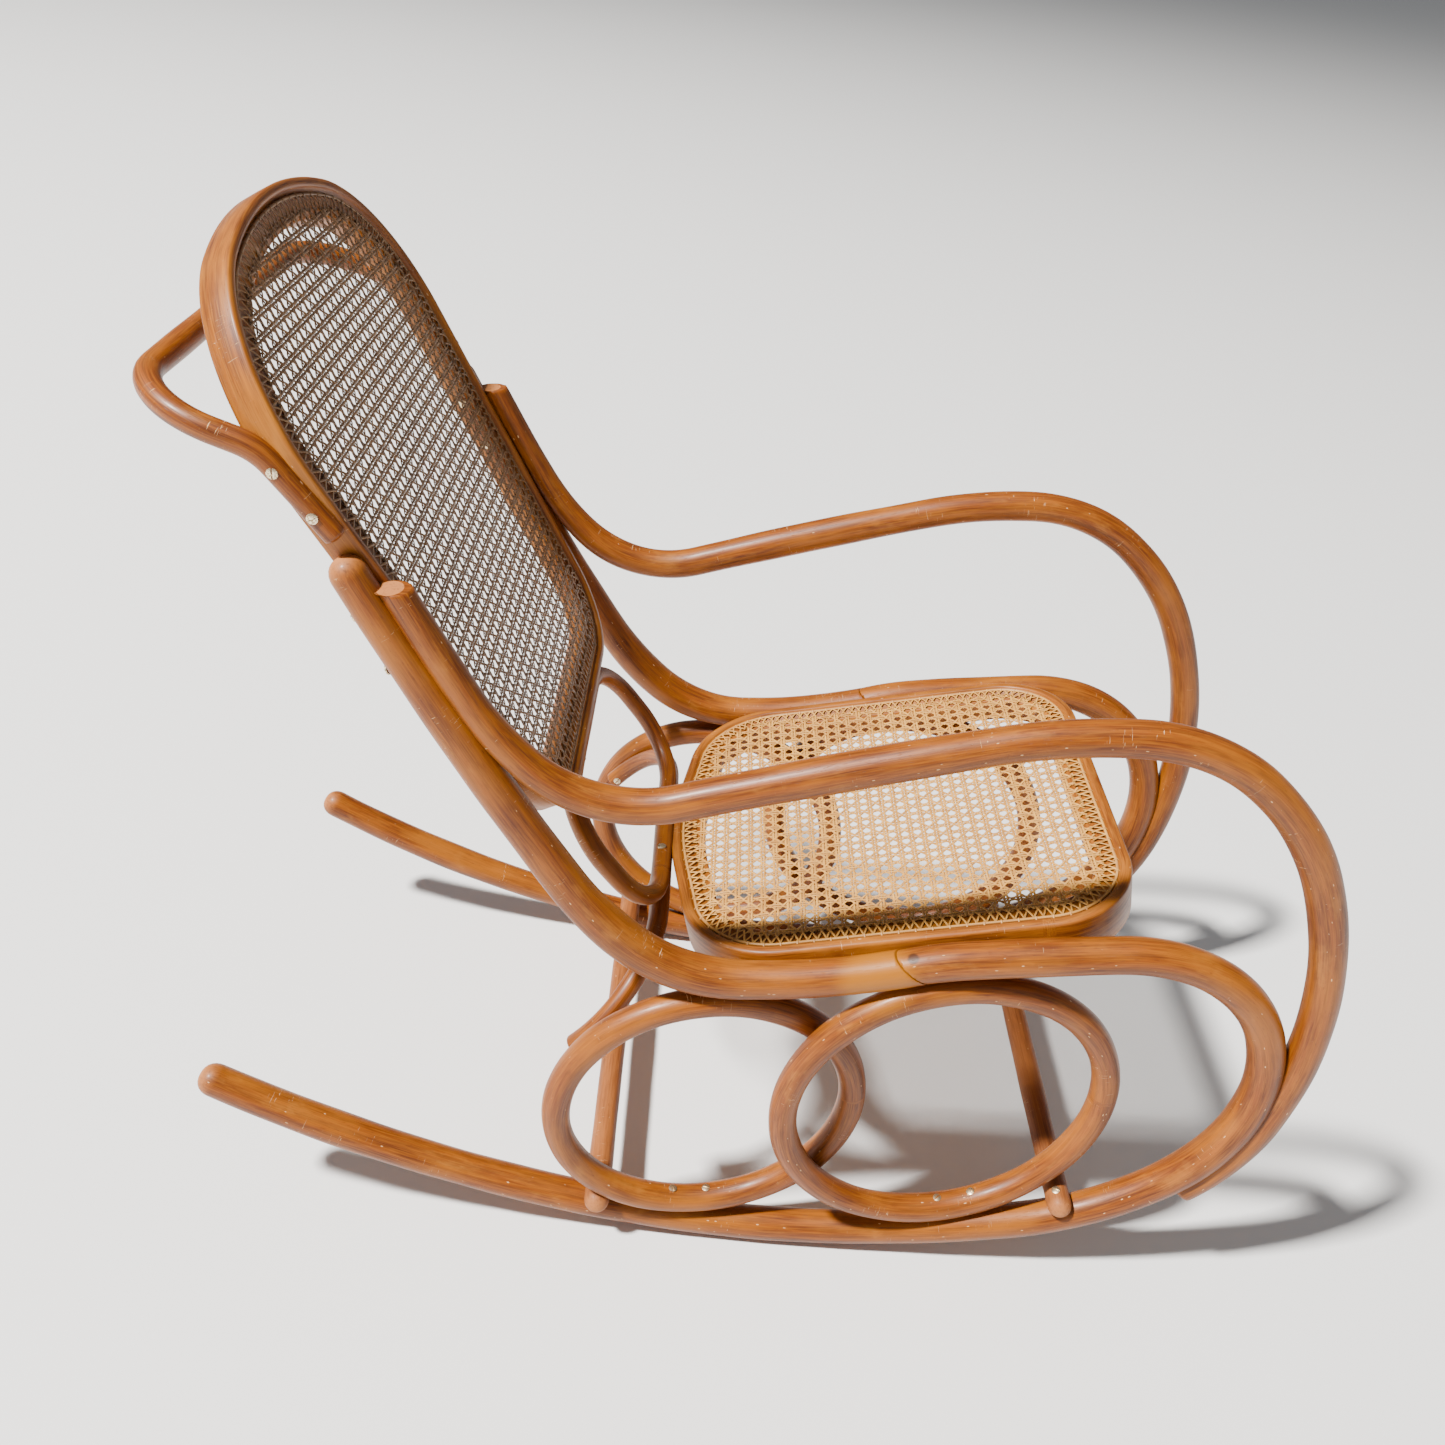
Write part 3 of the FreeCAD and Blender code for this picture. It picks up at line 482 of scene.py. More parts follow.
# paths are (radius, turn) bends one after another, or (length, 0) for a straight run
postRod = {"start": (-297.9, 812.5), "angle": -67.2,
           "bends": [(3700, 5.2), (315, 16.7), (150.4, 44.8), (614.7, 14.9)],
           "radii": [15.2, 16.4, 17.2, 17.6, 18.6, 19.6, 19.4, 18.6, 18.0, 17.9]}
runnerRod = {"bends": [(300, -9.2), (2570, -3.2), (158, -74.1), (200.6, -66.1), (306.5, -31.0),
                       (959.7, -28.3), (1320, -17.7)],
             "radii": [17.9, 17.9, 18.0, 18.2, 18.2, 18.1, 17.8, 17.6, 17.5, 17.5, 17.6, 17.0]}
armRod = {"start": (-265.0, 801.4), "angle": -67.2,
          "bends": [(2290, 2.8), (264.4, 16.8), (126.7, 62.2), (5460, -2.8), (467, -14.4), (182.7, -39.3),
                    (292.8, -25.0), (489.9, -38.4), (223.6, -31.0)],
          "radii": [12.6, 14.0, 15.6, 16.6, 16.8, 16.4, 16.2, 16.4, 16.8, 17.0, 17.0, 16.6, 15.2],
          "lead": (12, 3)}
scarf = {"slant": 52.0, "seam": 1.0, "lead": (4, 30), "nearby": 60.0, "leastFacing": 0.3}


def slantCut(where, normal):
    # points past a plane are pushed back along the rod onto it, close to the cut only
    def shape(verts, s, total):
        near = np.linalg.norm(verts - where, axis=-1) < scarf["nearby"]
        far = (verts - where) @ normal * near
        along = unit(np.gradient(verts.mean(1), axis=0))[:, None]
        facing = (along * normal).sum(-1)
        step = far / (np.sign(facing) * np.maximum(np.abs(facing), scarf["leastFacing"]))
        return verts - np.where(far > 0, step, 0.0)[..., None] * along
    return shape


def levelTop(where):  # the arm's top end is sawn level, leaving a pale face
    def shape(verts, s, total):
        return np.minimum(verts, [np.inf, np.inf, where])
    return shape


postPath, railAngle = bendChain(postRod["start"], postRod["angle"], postRod["bends"], -restPose["sideY"])
scarfPoint = postPath[-1]
scarfNormal = heading(railAngle + 90 - scarf["slant"])
tailLead = scarfPoint + heading(railAngle) * np.linspace(*scarf["lead"], 7)[:, None]
headLead = scarfPoint - heading(railAngle) * np.linspace(*scarf["lead"][::-1], 7)[:, None]
runnerPath, _ = bendChain(scarfPoint[[0, 2]], railAngle, runnerRod["bends"], -restPose["sideY"])
armPath, _ = bendChain(armRod["start"], armRod["angle"], armRod["bends"], -restPose["sideY"])
armLead = armPath[0] - heading(armRod["angle"]) * np.linspace(*armRod["lead"], 4)[:, None]


def sidePieces(side, place):
    def sided(where, normal):  # the scarf's cut, on whichever side the rod is
        shape = slantCut(where, normal)
        return lambda verts, s, total: place(shape(place(verts), s, total))

    halfSeam = scarfNormal * scarf["seam"] / 2
    bentRod("post_" + side, place(np.concatenate([postPath, tailLead])), yAxis, postRod["radii"],
            ("dome", "plain"), shape=sided(scarfPoint - halfSeam, scarfNormal))
    bentRod("runner_" + side, place(np.concatenate([headLead, runnerPath])), yAxis, runnerRod["radii"],
            ("plain", "dome"), shape=sided(scarfPoint + halfSeam, -scarfNormal))
    bentRod("arm_" + side, place(np.concatenate([armLead, armPath])), yAxis, armRod["radii"],
            ("cut", "blunt"), shape=levelTop(armRod["start"][1]))


sidePieces("right", np.asarray)
sidePieces("left", mirrored)
print("side frames done")

ringRods = {"rear": {"centre": (-31.0, 213.82), "radius": 147.0, "longer": 1.03, "turn": 7.87},
            "front": {"centre": (211.0, 218.24), "radius": 164.0, "longer": 1.01, "turn": 6.55}}
ringRadii = [14.3, 14.9, 14.4, 14.8, 14.3]
for end, ring in ringRods.items():
    a = np.linspace(0, 2 * np.pi, 220, endpoint=False)
    c, sn = np.cos(np.radians(ring["turn"])), np.sin(np.radians(ring["turn"]))
    away = ring["radius"] * ring["longer"] * np.cos(a)  # a circle turned about its own upright
    ringPath = np.stack([ring["centre"][0] + away * c, -restPose["sideY"] + away * sn,
                         ring["centre"][1] + ring["radius"] * np.sin(a)], -1)
    ringAxis = np.array([-sn, c, 0.0])
    for side, place in (("right", np.asarray), ("left", mirrored)):
        bentRod("ring_" + end + "_" + side, place(ringPath), place(ringAxis), ringRadii, closed=True)
print("side rings done")

stretchers = {"rear": {"at": (-147.2, 84.9), "half": 262.0, "r": 13.5},
              "front": {"at": (345.9, 72.6), "half": 252.0, "r": 13.6}}
for name, bar in stretchers.items():
    reach = bar["half"] - bar["r"]
    path = np.linspace((bar["at"][0], -reach, bar["at"][1]), (bar["at"][0], reach, bar["at"][1]), 90)
    slimmer = bar["r"] - 0.3
    rod = roundRod("stretcher_" + name, path, (0, 0, 1), [slimmer, bar["r"], slimmer])
    finishPiece(rod, materials["stretcher"], ["stretcher_" + name])
print("stretchers done")

seatPlane = {"origin": (127.6, 0.0, 422.56), "tilt": 8.7}
backPlane = {"origin": (-150.2, 0.0, 536.6), "lean": 24.8}
placeSeat = layFlat(seatPlane["origin"], seatPlane["tilt"])
placeBack = layFlat(backPlane["origin"], 90 + backPlane["lean"])
headLoop = {"legEnd": (345.0, -228.2, 11.0), "angle": 122.8, "bends": [(64.8, 0), (50, 33.9), (17.8, 0)],
            "corner": 67.0, "radii": [9.2, 9.8, 10.3, 10.6, 10.4, 10.2, 10.4, 10.6, 10.3, 9.8, 9.2]}
legEnd = placeBack(np.array([headLoop["legEnd"]]))[0]
legPath, legAngle = bendChain(legEnd[[0, 2]], headLoop["angle"], headLoop["bends"], legEnd[1])
loopHalf = np.concatenate([legPath, acrossBend(legPath[-1], heading(legAngle), headLoop["corner"])])
bentRod("head_loop", bothHalves(loopHalf), (0.65, 0, 0.76), headLoop["radii"], ("blunt", "blunt"), around=24)

seatBow = {"cross": (-81.1, 0.0, 370.4), "foot": (-146.7, 0.0, 305.2), "legY": -221.9, "corner": 104.0,
           "lead": (8, 2), "radii": [10.0, 10.2, 10.0]}
bowCross = np.array(seatBow["cross"])
bowWay = unit(bowCross - seatBow["foot"])
bowBend = bowCross + seatBow["legY"] * yAxis - bowWay * seatBow["corner"]
bowLeg = bowBend - bowWay * np.linspace(*seatBow["lead"], 4)[:, None]
bowHalf = np.concatenate([bowLeg, bowBend[None], acrossBend(bowBend, bowWay, seatBow["corner"])])
bentRod("seat_bow", bothHalves(bowHalf), (0.72, 0, -0.69), seatBow["radii"], ("cut", "cut"), around=24)

backRing = {"bottom": (-81.1, 0.0, 390.6), "top": (-163.8, 0.0, 519.0), "half": 150.0, "corner": 66.0,
            "radii": [10.0, 10.2, 10.0, 9.9, 10.0]}
low, high = np.array(backRing["bottom"]), np.array(backRing["top"])
ringUp, rise = unit(high - low), np.linalg.norm(high - low) / 2
flat = roundedLoop([(x * rise, y * backRing["half"], backRing["corner"])
                    for x, y in ((-1, -1), (1, -1), (1, 1), (-1, 1))])
hoopPath = (low + high) / 2 + flat[:, :1] * ringUp + flat[:, 1:] * yAxis
bentRod("back_ring", hoopPath, np.cross(ringUp, yAxis), backRing["radii"], closed=True, around=24)
print("small bends done")

seatPanel = {"front": 257.0, "rear": 204.0, "half": 212.3, "frontCorner": 88.0, "rearCorner": 100.0,
             "rearBow": 350.0, "rearSlope": 10.0, "depth": 45.0, "lip": 11.0, "shelf": -3.4, "rim": 36.0,
             "apron": 14.0, "sag": 7.0}
backPanel = {"height": 562.0, "bottomHalf": 195.0, "topHalf": 222.0, "topAt": 355.0, "shoulder": 150.0,
             "crown": 420.0, "crownSlope": 16.0, "bottomCorner": 84.0, "depth": 28.0, "lip": 9.0,
             "shelf": 6.2, "rim": 34.0, "sag": 2.5}
widen = (backPanel["topHalf"] - backPanel["bottomHalf"]) / backPanel["topAt"]


def bowed(radius, slope):  # slope of the lines meeting at the tip, and how far past the arc it lies
    angle = np.radians(slope)
    return np.tan(angle), radius * (1 / np.cos(angle) - 1)


def seatLoop():
    slope, past = bowed(seatPanel["rearBow"], seatPanel["rearSlope"])
    apex = -seatPanel["rear"] - past
    h, back = seatPanel["half"], apex + seatPanel["half"] * slope
    return roundedLoop([(seatPanel["front"], -h, seatPanel["frontCorner"]),
                        (seatPanel["front"], h, seatPanel["frontCorner"]),
                        (back, h, seatPanel["rearCorner"]), (apex, 0.0, seatPanel["rearBow"]),
                        (back, -h, seatPanel["rearCorner"])])


def backLoop():
    slope, past = bowed(backPanel["crown"], backPanel["crownSlope"])
    apex = backPanel["height"] + past
    shoulder = backPanel["bottomHalf"] + widen * apex
    return roundedLoop([(0.0, -backPanel["bottomHalf"], backPanel["bottomCorner"]),
                        (apex - shoulder * slope, -shoulder, backPanel["shoulder"]),
                        (apex, 0.0, backPanel["crown"]),
                        (apex - shoulder * slope, shoulder, backPanel["shoulder"]),
                        (0.0, backPanel["bottomHalf"], backPanel["bottomCorner"])])


seatEdge, backEdge = seatLoop(), backLoop()
d, lip, rim, shelf, apron = (seatPanel[key] for key in ("depth", "lip", "rim", "shelf", "apron"))
seatProfile = [(1.2, -d), (0.2, -d + 1.2), (0.0, -d / 2), (0.0, -4.5), (0.35, -2.6), (1.3, -1.1), (3.2, -0.3),
               (lip - 3.5, -0.1), (lip - 1.4, -0.5), (lip - 0.5, -1.4), (lip, shelf), (rim - 2, shelf),
               (rim - 0.4, shelf - 1.2), (rim, shelf - 3), (rim, -18.5), (rim - 1.2, -20),
               (apron + 1, -20.4), (apron, -21.5), (apron, -d + 1.2), (apron - 1.2, -d)]
d, lip, rim, shelf = (backPanel[key] for key in ("depth", "lip", "rim", "shelf"))
backProfile = [(1.8, d), (0.4, d - 1.3), (0.0, d / 2), (0.0, 3.0), (0.5, 1.2), (1.7, 0.3), (lip - 3.2, 0.15),
               (lip - 1.2, 0.8), (lip - 0.2, 2.2), (lip, shelf), (rim - 2, shelf), (rim - 0.4, shelf + 1.2),
               (rim, d / 2), (rim - 0.4, d - 1.4), (rim - 2, d)]
seatWood = bandAlong("seat_frame", seatEdge, seatProfile, placeSeat)
finishPiece(seatWood, materials["panel"], ["seat_frame"])
backWood = bandAlong("back_frame", backEdge, backProfile, placeBack)
finishPiece(backWood, materials["panel"], ["back_frame"])
print("panel frames done")

weave = {"pitch": 13.0, "pairGap": 3.1, "width": 2.3, "thick": 0.5, "lift": 0.42, "diagonalWidth": 2.2,
         "diagonalLift": 0.75, "step": 2.2, "hole": 14.6, "inner": 26.0, "aboveShelf": 1.2, "shortest": 4.0}
strandEnds = {"fan": 28.5, "spacing": 0.68, "uneven": 0.22, "fans": ((-6.5, 0.8), (6.5, 1.3)), "width": 2.0,
              "rise": (0.1, 0.9, 1.25, 1.2, 0.7)}
edging = {"width": 3.4, "inward": -0.6, "top": 2.1, "tieSpacing": 1.24, "tieReach": 0.9, "tieWidth": 1.8,
          "tieRise": (0.1, 1.7, 2.35, 2.35, 1.7, 0.1)}


def chordSpans(loop, normal, offsets):
    # where the lines normal . p = offset cross a convex outline: lowest and highest place along the line
    along = np.array([-normal[1], normal[0]])
    n, t = loop @ normal, loop @ along
    n1, t1 = np.roll(n, -1), np.roll(t, -1)
    span = np.where(np.abs(n1 - n) < 1e-9, 1e-9, n1 - n)
    f = (offsets[:, None] - n) / span
    crossing = (f >= 0) & (f <= 1)
    place = t + f * (t1 - t)
    low = np.where(crossing, place, np.inf).min(1)
    high = np.where(crossing, place, -np.inf).max(1)
    keep = (high - low) > weave["shortest"]
    return offsets[keep], low[keep], high[keep]


def stripMesh(centre, side, heights, shifts, run, width, shoulder):
    # flat six-sided strips along rows of centre points; shifts and run place them in the cane's grain
    across = width * np.array([-0.5, -shoulder, shoulder, 0.5, shoulder, -shoulder])
    up = weave["thick"] * np.array([0.0, 0.5, 0.5, 0.0, -0.5, -0.5])
    flatPoints = centre[:, :, None] + across[:, None] * side
    count, rows, around = flatPoints.shape[:3]
    z = np.broadcast_to(heights[..., None] + up, flatPoints.shape[:3])
    verts = np.concatenate([flatPoints, z[..., None]], -1)
    caps = np.array([[0, 1, 2, 3], [0, 3, 4, 5]])
    one = np.concatenate([gridFaces(rows, around, False, True), caps[:, ::-1], caps + (rows - 1) * around])
    quads = one[None] + (np.arange(count) * rows * around)[:, None, None]
    shifted = across + shifts[:, None, None] * handMade["stripShift"]
    grain = np.stack([np.broadcast_to(shifted, z.shape), z, np.broadcast_to(run[..., None], z.shape)], -1)
    return verts.reshape(-1, 3), quads.reshape(-1, 4), grain.reshape(-1, 3)


def strandGrid(loop, normal, offsets, liftOf, width):
    # strips centred on the lines normal . p = offset, risen by liftOf(offset, place along the line)
    offsets, low, high = chordSpans(loop, normal, offsets)
    along = np.array([-normal[1], normal[0]])
    rows = int((high - low).max() / weave["step"]) + 2
    t = low[:, None] + (high - low)[:, None] * np.linspace(0, 1, rows)[None]
    centre = offsets[:, None, None] * normal + t[..., None] * along
    return stripMesh(centre, normal, liftOf(offsets[:, None], t), offsets, t, width, 0.32)


def joined(parts):  # several vertex and face arrays made into one
    starts = np.concatenate([[0], np.cumsum([len(p[0]) for p in parts])[:-1]])
    return (np.concatenate([p[0] for p in parts]),
            np.concatenate([p[1] + first for p, first in zip(parts, starts)]),
            np.concatenate([p[2] for p in parts]))


def spreadLoop(loop, spacing):  # points evenly spaced round a closed outline, with their inward direction
    s, total = pathLength(loop, True)
    count = int(round(total / spacing))
    at = np.arange(count) * total / count

    def readAt(values):  # values round the loop, read off at the new places
        closed = np.concatenate([values, values[:1]])
        return np.stack([np.interp(at, np.append(s, total), closed[:, k]) for k in (0, 1)], -1)
    return readAt(loop), unit(readAt(insetLoop(loop, 1.0) - loop))


def straps(starts, ends, heights, width):
    # short strips from start to end; heights give the rise at equal steps, width lies across the strip
    f = np.linspace(0, 1, len(heights))[None]
    centre = starts[:, None] * (1 - f[..., None]) + ends[:, None] * f[..., None]
    along = unit(ends - starts)
    side = np.stack([-along[:, 1], along[:, 0]], -1)[:, None, None]
    run = f * handMade["strapGrain"]
    return stripMesh(centre, side, heights[None], np.arange(len(starts)), run, width, 0.3)


def caneSheet(name, loop, surface, face, sag, place, material):
    # the six-way weave: upright and level pairs, and one slanting strand each way between them
    pitch, lift, pair = weave["pitch"], weave["lift"], weave["pairGap"] / 2
    edge = insetLoop(loop, weave["inner"])
    reach = np.abs(loop).max() * 1.5
    k = np.arange(-int(reach / pitch), int(reach / pitch) + 1)
    middle = edge.mean(0)
    halfSpan = np.abs(edge - middle).max(0)

    def sunk(points):  # a used panel hangs a little in its middle
        f = np.clip(1 - ((points[:, :2] - middle) ** 2 / halfSpan ** 2).sum(-1), 0, 1)
        return points + np.stack([0 * f, 0 * f, surface - face * sag * f ** 0.8], -1)

    sets = {}
    for label, normal, sign in (("long", np.array([0.0, 1.0]), 1), ("cross", np.array([1.0, 0.0]), -1)):
        parts = []
        for side in (-1, 1):
            def rise(offset, t, sign=sign):
                return sign * lift * np.cos(np.pi * (t / pitch + np.round(offset / pitch)))
            parts.append(strandGrid(edge, normal, k * pitch + side * pair, rise, weave["width"]))
        sets[label] = joined(parts)
    for label, normal, sign in (("slant", np.array([1.0, 1.0]) / np.sqrt(2), 1),
                                ("counter", np.array([1.0, -1.0]) / np.sqrt(2), -1)):
        def weaveOver(offset, t, sign=sign):
            return sign * weave["diagonalLift"] * np.cos(2 * np.pi * t / (pitch * np.sqrt(2)))
        k2 = np.arange(-2 * int(reach / pitch), 2 * int(reach / pitch))
        sets[label] = strandGrid(edge, normal, (k2 + 0.5) * pitch / np.sqrt(2), weaveOver,
                                 weave["diagonalWidth"])
    for label, (verts, quads, grain) in sets.items():
        cane = makeMesh(name + "_" + label, place(sunk(verts)), quads, grain)
        finishPiece(cane, material, [name] if label == "long" else [])
    # from every hole two strand ends run in over the rim, crossing their neighbours in a zigzag
    starts, inward = spreadLoop(insetLoop(loop, weave["hole"]), pitch * strandEnds["spacing"])
    turned = np.stack([-inward[:, 1], inward[:, 0]], -1)
    uneven = (1 + strandEnds["uneven"] * np.sin(np.arange(len(starts)) * 2.7))[:, None]
    depth = inward * (strandEnds["fan"] - weave["hole"]) * (0.85 + 0.15 * uneven)
    rise = face * np.array(strandEnds["rise"])
    fans = [straps(starts, starts + depth + turned * slip * uneven, rise * tall, strandEnds["width"])
            for slip, tall in strandEnds["fans"]]
    verts, quads, grain = joined(fans)
    verts = verts + np.array([0, 0, surface])
    ends = makeMesh(name + "_ends", place(verts), quads, grain)
    finishPiece(ends, material, [])


def caneEdging(name, loop, surface, face, place, material):
    # one strand laid over the ring of holes, held down by a small tie at every second hole
    half, at = edging["width"] / 2, weave["hole"] + edging["inward"]
    section = ((-1.0, 0.2), (-0.6, 1.7), (0.0, edging["top"]), (0.6, 1.7), (1.0, 0.2), (0.0, -0.2))
    profile = [(at + across * half, surface + face * up) for across, up in section]
    strand = bandAlong(name, loop, profile, place)
    finishPiece(strand, material, [name])
    points, inward = spreadLoop(insetLoop(loop, at), weave["pitch"] * edging["tieSpacing"])
    reach = inward * (half + edging["tieReach"])
    heights = surface + face * np.array(edging["tieRise"])
    verts, quads, grain = straps(points - reach, points + reach, heights, edging["tieWidth"])
    ties = makeMesh(name + "_ties", place(verts), quads, grain)
    finishPiece(ties, material, [])


def caneMaterial(name, look):
    mat, tree, shader = newMaterial(name)
    grain = readAttribute(tree, "grain", "Vector")
    place = addNode(tree, "ShaderNodeTexCoord").outputs["Object"]
    long, fibre = (fibreNoise(tree, grain, kind) for kind in ("caneLong", "caneFibre"))
    broad = noise(tree, place, 9.0, 3.0, 0.6)
    color = mixColor(tree, ramp(tree, long, 0.35, 0.68), look["dark"], look["middle"])
    color = mixColor(tree, ramp(tree, fibre, 0.4, 0.8, 0.0, 0.6), color, look["light"])
    # broad dark patches: real age on the seat cane and binder, mostly painted shade on the back cane
    color = mixColor(tree, ramp(tree, broad, 0.5, 0.78, 0.0, look["ageingAndShadeShare"]), color, look["ageingAndShadeTone"])
    tree.links.new(color, shader.inputs["Base Color"])
    rough = ramp(tree, fibre, 0.3, 0.7, look["rough"] - 0.06, look["rough"] + 0.08)
    tree.links.new(rough, shader.inputs["Roughness"])
    bump = addNode(tree, "ShaderNodeBump", Strength=0.25, Distance=0.0002, Height=fibre)
    tree.links.new(bump.outputs[0], shader.inputs["Normal"])
    return mat


caneLook = {"light": (0.82, 0.50, 0.15, 1), "middle": (0.64, 0.31, 0.055, 1),
            "dark": (0.38, 0.155, 0.025, 1), "ageingAndShadeTone": (0.33, 0.14, 0.04, 1), "ageingAndShadeShare": 0.3, "rough": 0.42}
edgingLook = {**caneLook, "light": (0.76, 0.44, 0.12, 1), "middle": (0.56, 0.27, 0.05, 1),
              "dark": (0.38, 0.17, 0.05, 1), "ageingAndShadeShare": 0.45}
# back cane colours: partly the cane's own browner tone, partly painted shade; all colours here and the larger
# share of very dark patches paint the back's front face as if it lay in shade
paintedShadeBackLook = {**caneLook, "light": (0.46, 0.27, 0.12, 1), "middle": (0.30, 0.155, 0.06, 1),
            "dark": (0.15, 0.065, 0.022, 1), "ageingAndShadeTone": (0.12, 0.05, 0.018, 1), "ageingAndShadeShare": 0.6}
materials["cane"] = caneMaterial("cane", caneLook)
materials["paintedShadeBackCane"] = caneMaterial("paintedShadeBackCane", paintedShadeBackLook)
materials["edging"] = caneMaterial("caneEdging", edgingLook)
for name, panel, edge, face, place, cane in (
        ("seat_cane", seatPanel, seatEdge, 1, placeSeat, materials["cane"]),
        ("back_cane", backPanel, backEdge, -1, placeBack, materials["paintedShadeBackCane"])):
    caneSheet(name, edge, panel["shelf"] + face * weave["aboveShelf"], face, panel["sag"], place, cane)
caneEdging("seat_binder", seatEdge, seatPanel["shelf"], 1, placeSeat, materials["edging"])
# the back binder takes the back cane's colours, painted shade included
caneEdging("back_binder", backEdge, backPanel["shelf"], -1, placeBack, materials["paintedShadeBackCane"])
print("woven cane done")

screw = {"r": 4.4, "dome": 0.8, "slot": 0.13, "slotWall": 0.001, "deep": 0.9, "rim": 0.45, "under": -0.9,
         "leftTurn": 65, "farTurn": 40, "tarnish": (0.30, 0.2, 0.1, 1), "bright": (0.80, 0.68, 0.46, 1)}
screwMetal, tree, shader = newMaterial("agedBrass")
place = addNode(tree, "ShaderNodeTexCoord").outputs["Object"]
tarnish = noise(tree, place, 700.0, 3.0, 0.6)
metalColor = mixColor(tree, ramp(tree, tarnish, 0.42, 0.66), screw["bright"], screw["tarnish"])
tree.links.new(metalColor, shader.inputs["Base Color"])
tree.links.new(ramp(tree, tarnish, 0.35, 0.7, 0.28, 0.55), shader.inputs["Roughness"])
shader.inputs["Metallic"].default_value = 1.0


def screwHeads(name, places, normals, turns, nodes):
    # low dome z = d (1 - rho^2), cut across by a slot: points within the slot's half width are sunk
    inner, outer = screw["slot"] - screw["slotWall"], screw["slot"] + screw["slotWall"]
    u = np.concatenate([-np.linspace(1, 0.2, 6), [-outer, -inner, inner, outer], np.linspace(0.2, 1, 6)])
    gu, gv = np.meshgrid(u, np.linspace(-1, 1, 13), indexing="ij")
    x, y = gu * np.sqrt(1 - gv ** 2 / 2), gv * np.sqrt(1 - gu ** 2 / 2)
    rho = np.minimum(np.hypot(x, y), 1.0)
    z = screw["dome"] * (1 - rho ** 2) + screw["rim"]
    z = z - screw["deep"] * (np.abs(gu) < screw["slot"])
    rows, cols = gu.shape
    top = np.stack([x * screw["r"], y * screw["r"], z], -1).reshape(-1, 3)
    under = top * np.array([1, 1, 0]) + np.array([0, 0, screw["under"]])
    face = gridFaces(rows, cols)
    index = np.arange(rows * cols).reshape(rows, cols)
    rimLine = np.concatenate([index[0, :-1], index[:-1, -1], index[-1, :0:-1], index[:0:-1, 0]])
    ahead = np.roll(rimLine, -1)
    wall = np.stack([rimLine, ahead, ahead + len(top), rimLine + len(top)], -1)
    quads = np.concatenate([face, face[:, ::-1] + len(top), wall[:, ::-1]])
    local = np.concatenate([top, under])
    normals = unit(np.asarray(normals, dtype=float))
    helper = np.where(np.abs(normals[:, 1:2]) > 0.9, [[1.0, 0, 0]], [[0, 1.0, 0]])
    a = unit(np.cross(helper, normals))
    b2 = np.cross(normals, a)
    t = np.radians(np.asarray(turns, dtype=float))[:, None]
    first, second = a * np.cos(t) + b2 * np.sin(t), b2 * np.cos(t) - a * np.sin(t)
    axes = np.stack([first, second, normals], 1)
    verts = np.asarray(places)[:, None] + local @ axes
    allQuads = (quads[None] + (np.arange(len(verts)) * len(local))[:, None, None]).reshape(-1, 4)
    verts = verts.reshape(-1, 3)
    heads = makeMesh(name, verts, allQuads, verts, smooth=False)
    finishPiece(heads, screwMetal, nodes)


def headsOn(name, places, normals, turns, bothSides=False):
    # the same row of heads on the right, on the left, or on both sides as one piece
    if bothSides:
        screwHeads(name, np.concatenate([places, mirrored(places)]),
                   np.concatenate([normals, mirrored(normals)]),
                   list(turns) + [t + screw["farTurn"] for t in turns], [name])
        return
    screwHeads(name + "_right", np.asarray(places), normals, turns, [name + "_right"])
    screwHeads(name + "_left", mirrored(places), mirrored(normals),
               [t + screw["leftTurn"] for t in turns], [name + "_left"])


def nearest(path, point):
    return path[np.argmin(np.linalg.norm(path - point, axis=-1))]


screwPlan = {"ringPitch": 40.0, "ringShift": 10.0, "ringTube": 14.6, "down": (32.0, 84.0),
             "foot": (9.0, 27.0), "loopUp": (20.0, 62.0), "backUp": (250.0, 298.0),
             "seatAlong": (-70.0, 90.0), "seatUnder": 26.0, "barOut": 45.0, "postTube": (16.2, 17.0),
             "armTube": 16.4, "loopTube": 9.6, "barTube": 13.5, "runnerTube": 18.6, "backFace": 16.8,
             "bendTube": 9.9}
places, normals = [], []
for ring in ringRods.values():
    centre = np.array([ring["centre"][0], -restPose["sideY"], ring["centre"][1]])
    foot = nearest(runnerPath, centre)
    contact = np.arctan2(foot[2] - centre[2], foot[0] - centre[0])
    for shift in (-0.5, 0.5):
        a = contact + (screwPlan["ringShift"] + shift * screwPlan["ringPitch"]) / ring["radius"]
        turn = np.radians(ring["turn"])
        out = np.array([np.cos(a) * np.cos(turn), np.cos(a) * np.sin(turn), np.sin(a)])
        places.append(centre + out * (ring["radius"] - screwPlan["ringTube"]))
        normals.append(-out)
headsOn("ring_screws", places, normals, (20, 75, 130, 50))
forward = heading(postRod["angle"] + 90)
places = [postPath[0] + heading(postRod["angle"]) * down - forward * r
          for down, r in zip(screwPlan["down"], screwPlan["postTube"])]
headsOn("arm_screws", places, [-forward] * 2, (15, 100))
footStart, footAngle = bendChain(armRod["start"], armRod["angle"], armRod["bends"][:-1], -restPose["sideY"])
footR = armRod["bends"][-1][0]
footCentre = footStart[-1] + heading(footAngle - 90) * footR
spokes = [heading(footAngle + 90 - along) for along in screwPlan["foot"]]
places = [footCentre + spoke * (footR + screwPlan["armTube"]) for spoke in spokes]
headsOn("arm_foot_screws", places, spokes, (35, 80))
legSide = legEnd - screwPlan["loopTube"] * yAxis
places = [legSide + heading(headLoop["angle"]) * up for up in screwPlan["loopUp"]]
headsOn("loop_screws", places, [-yAxis] * 2, (25, 85), True)
places, normals = [], []
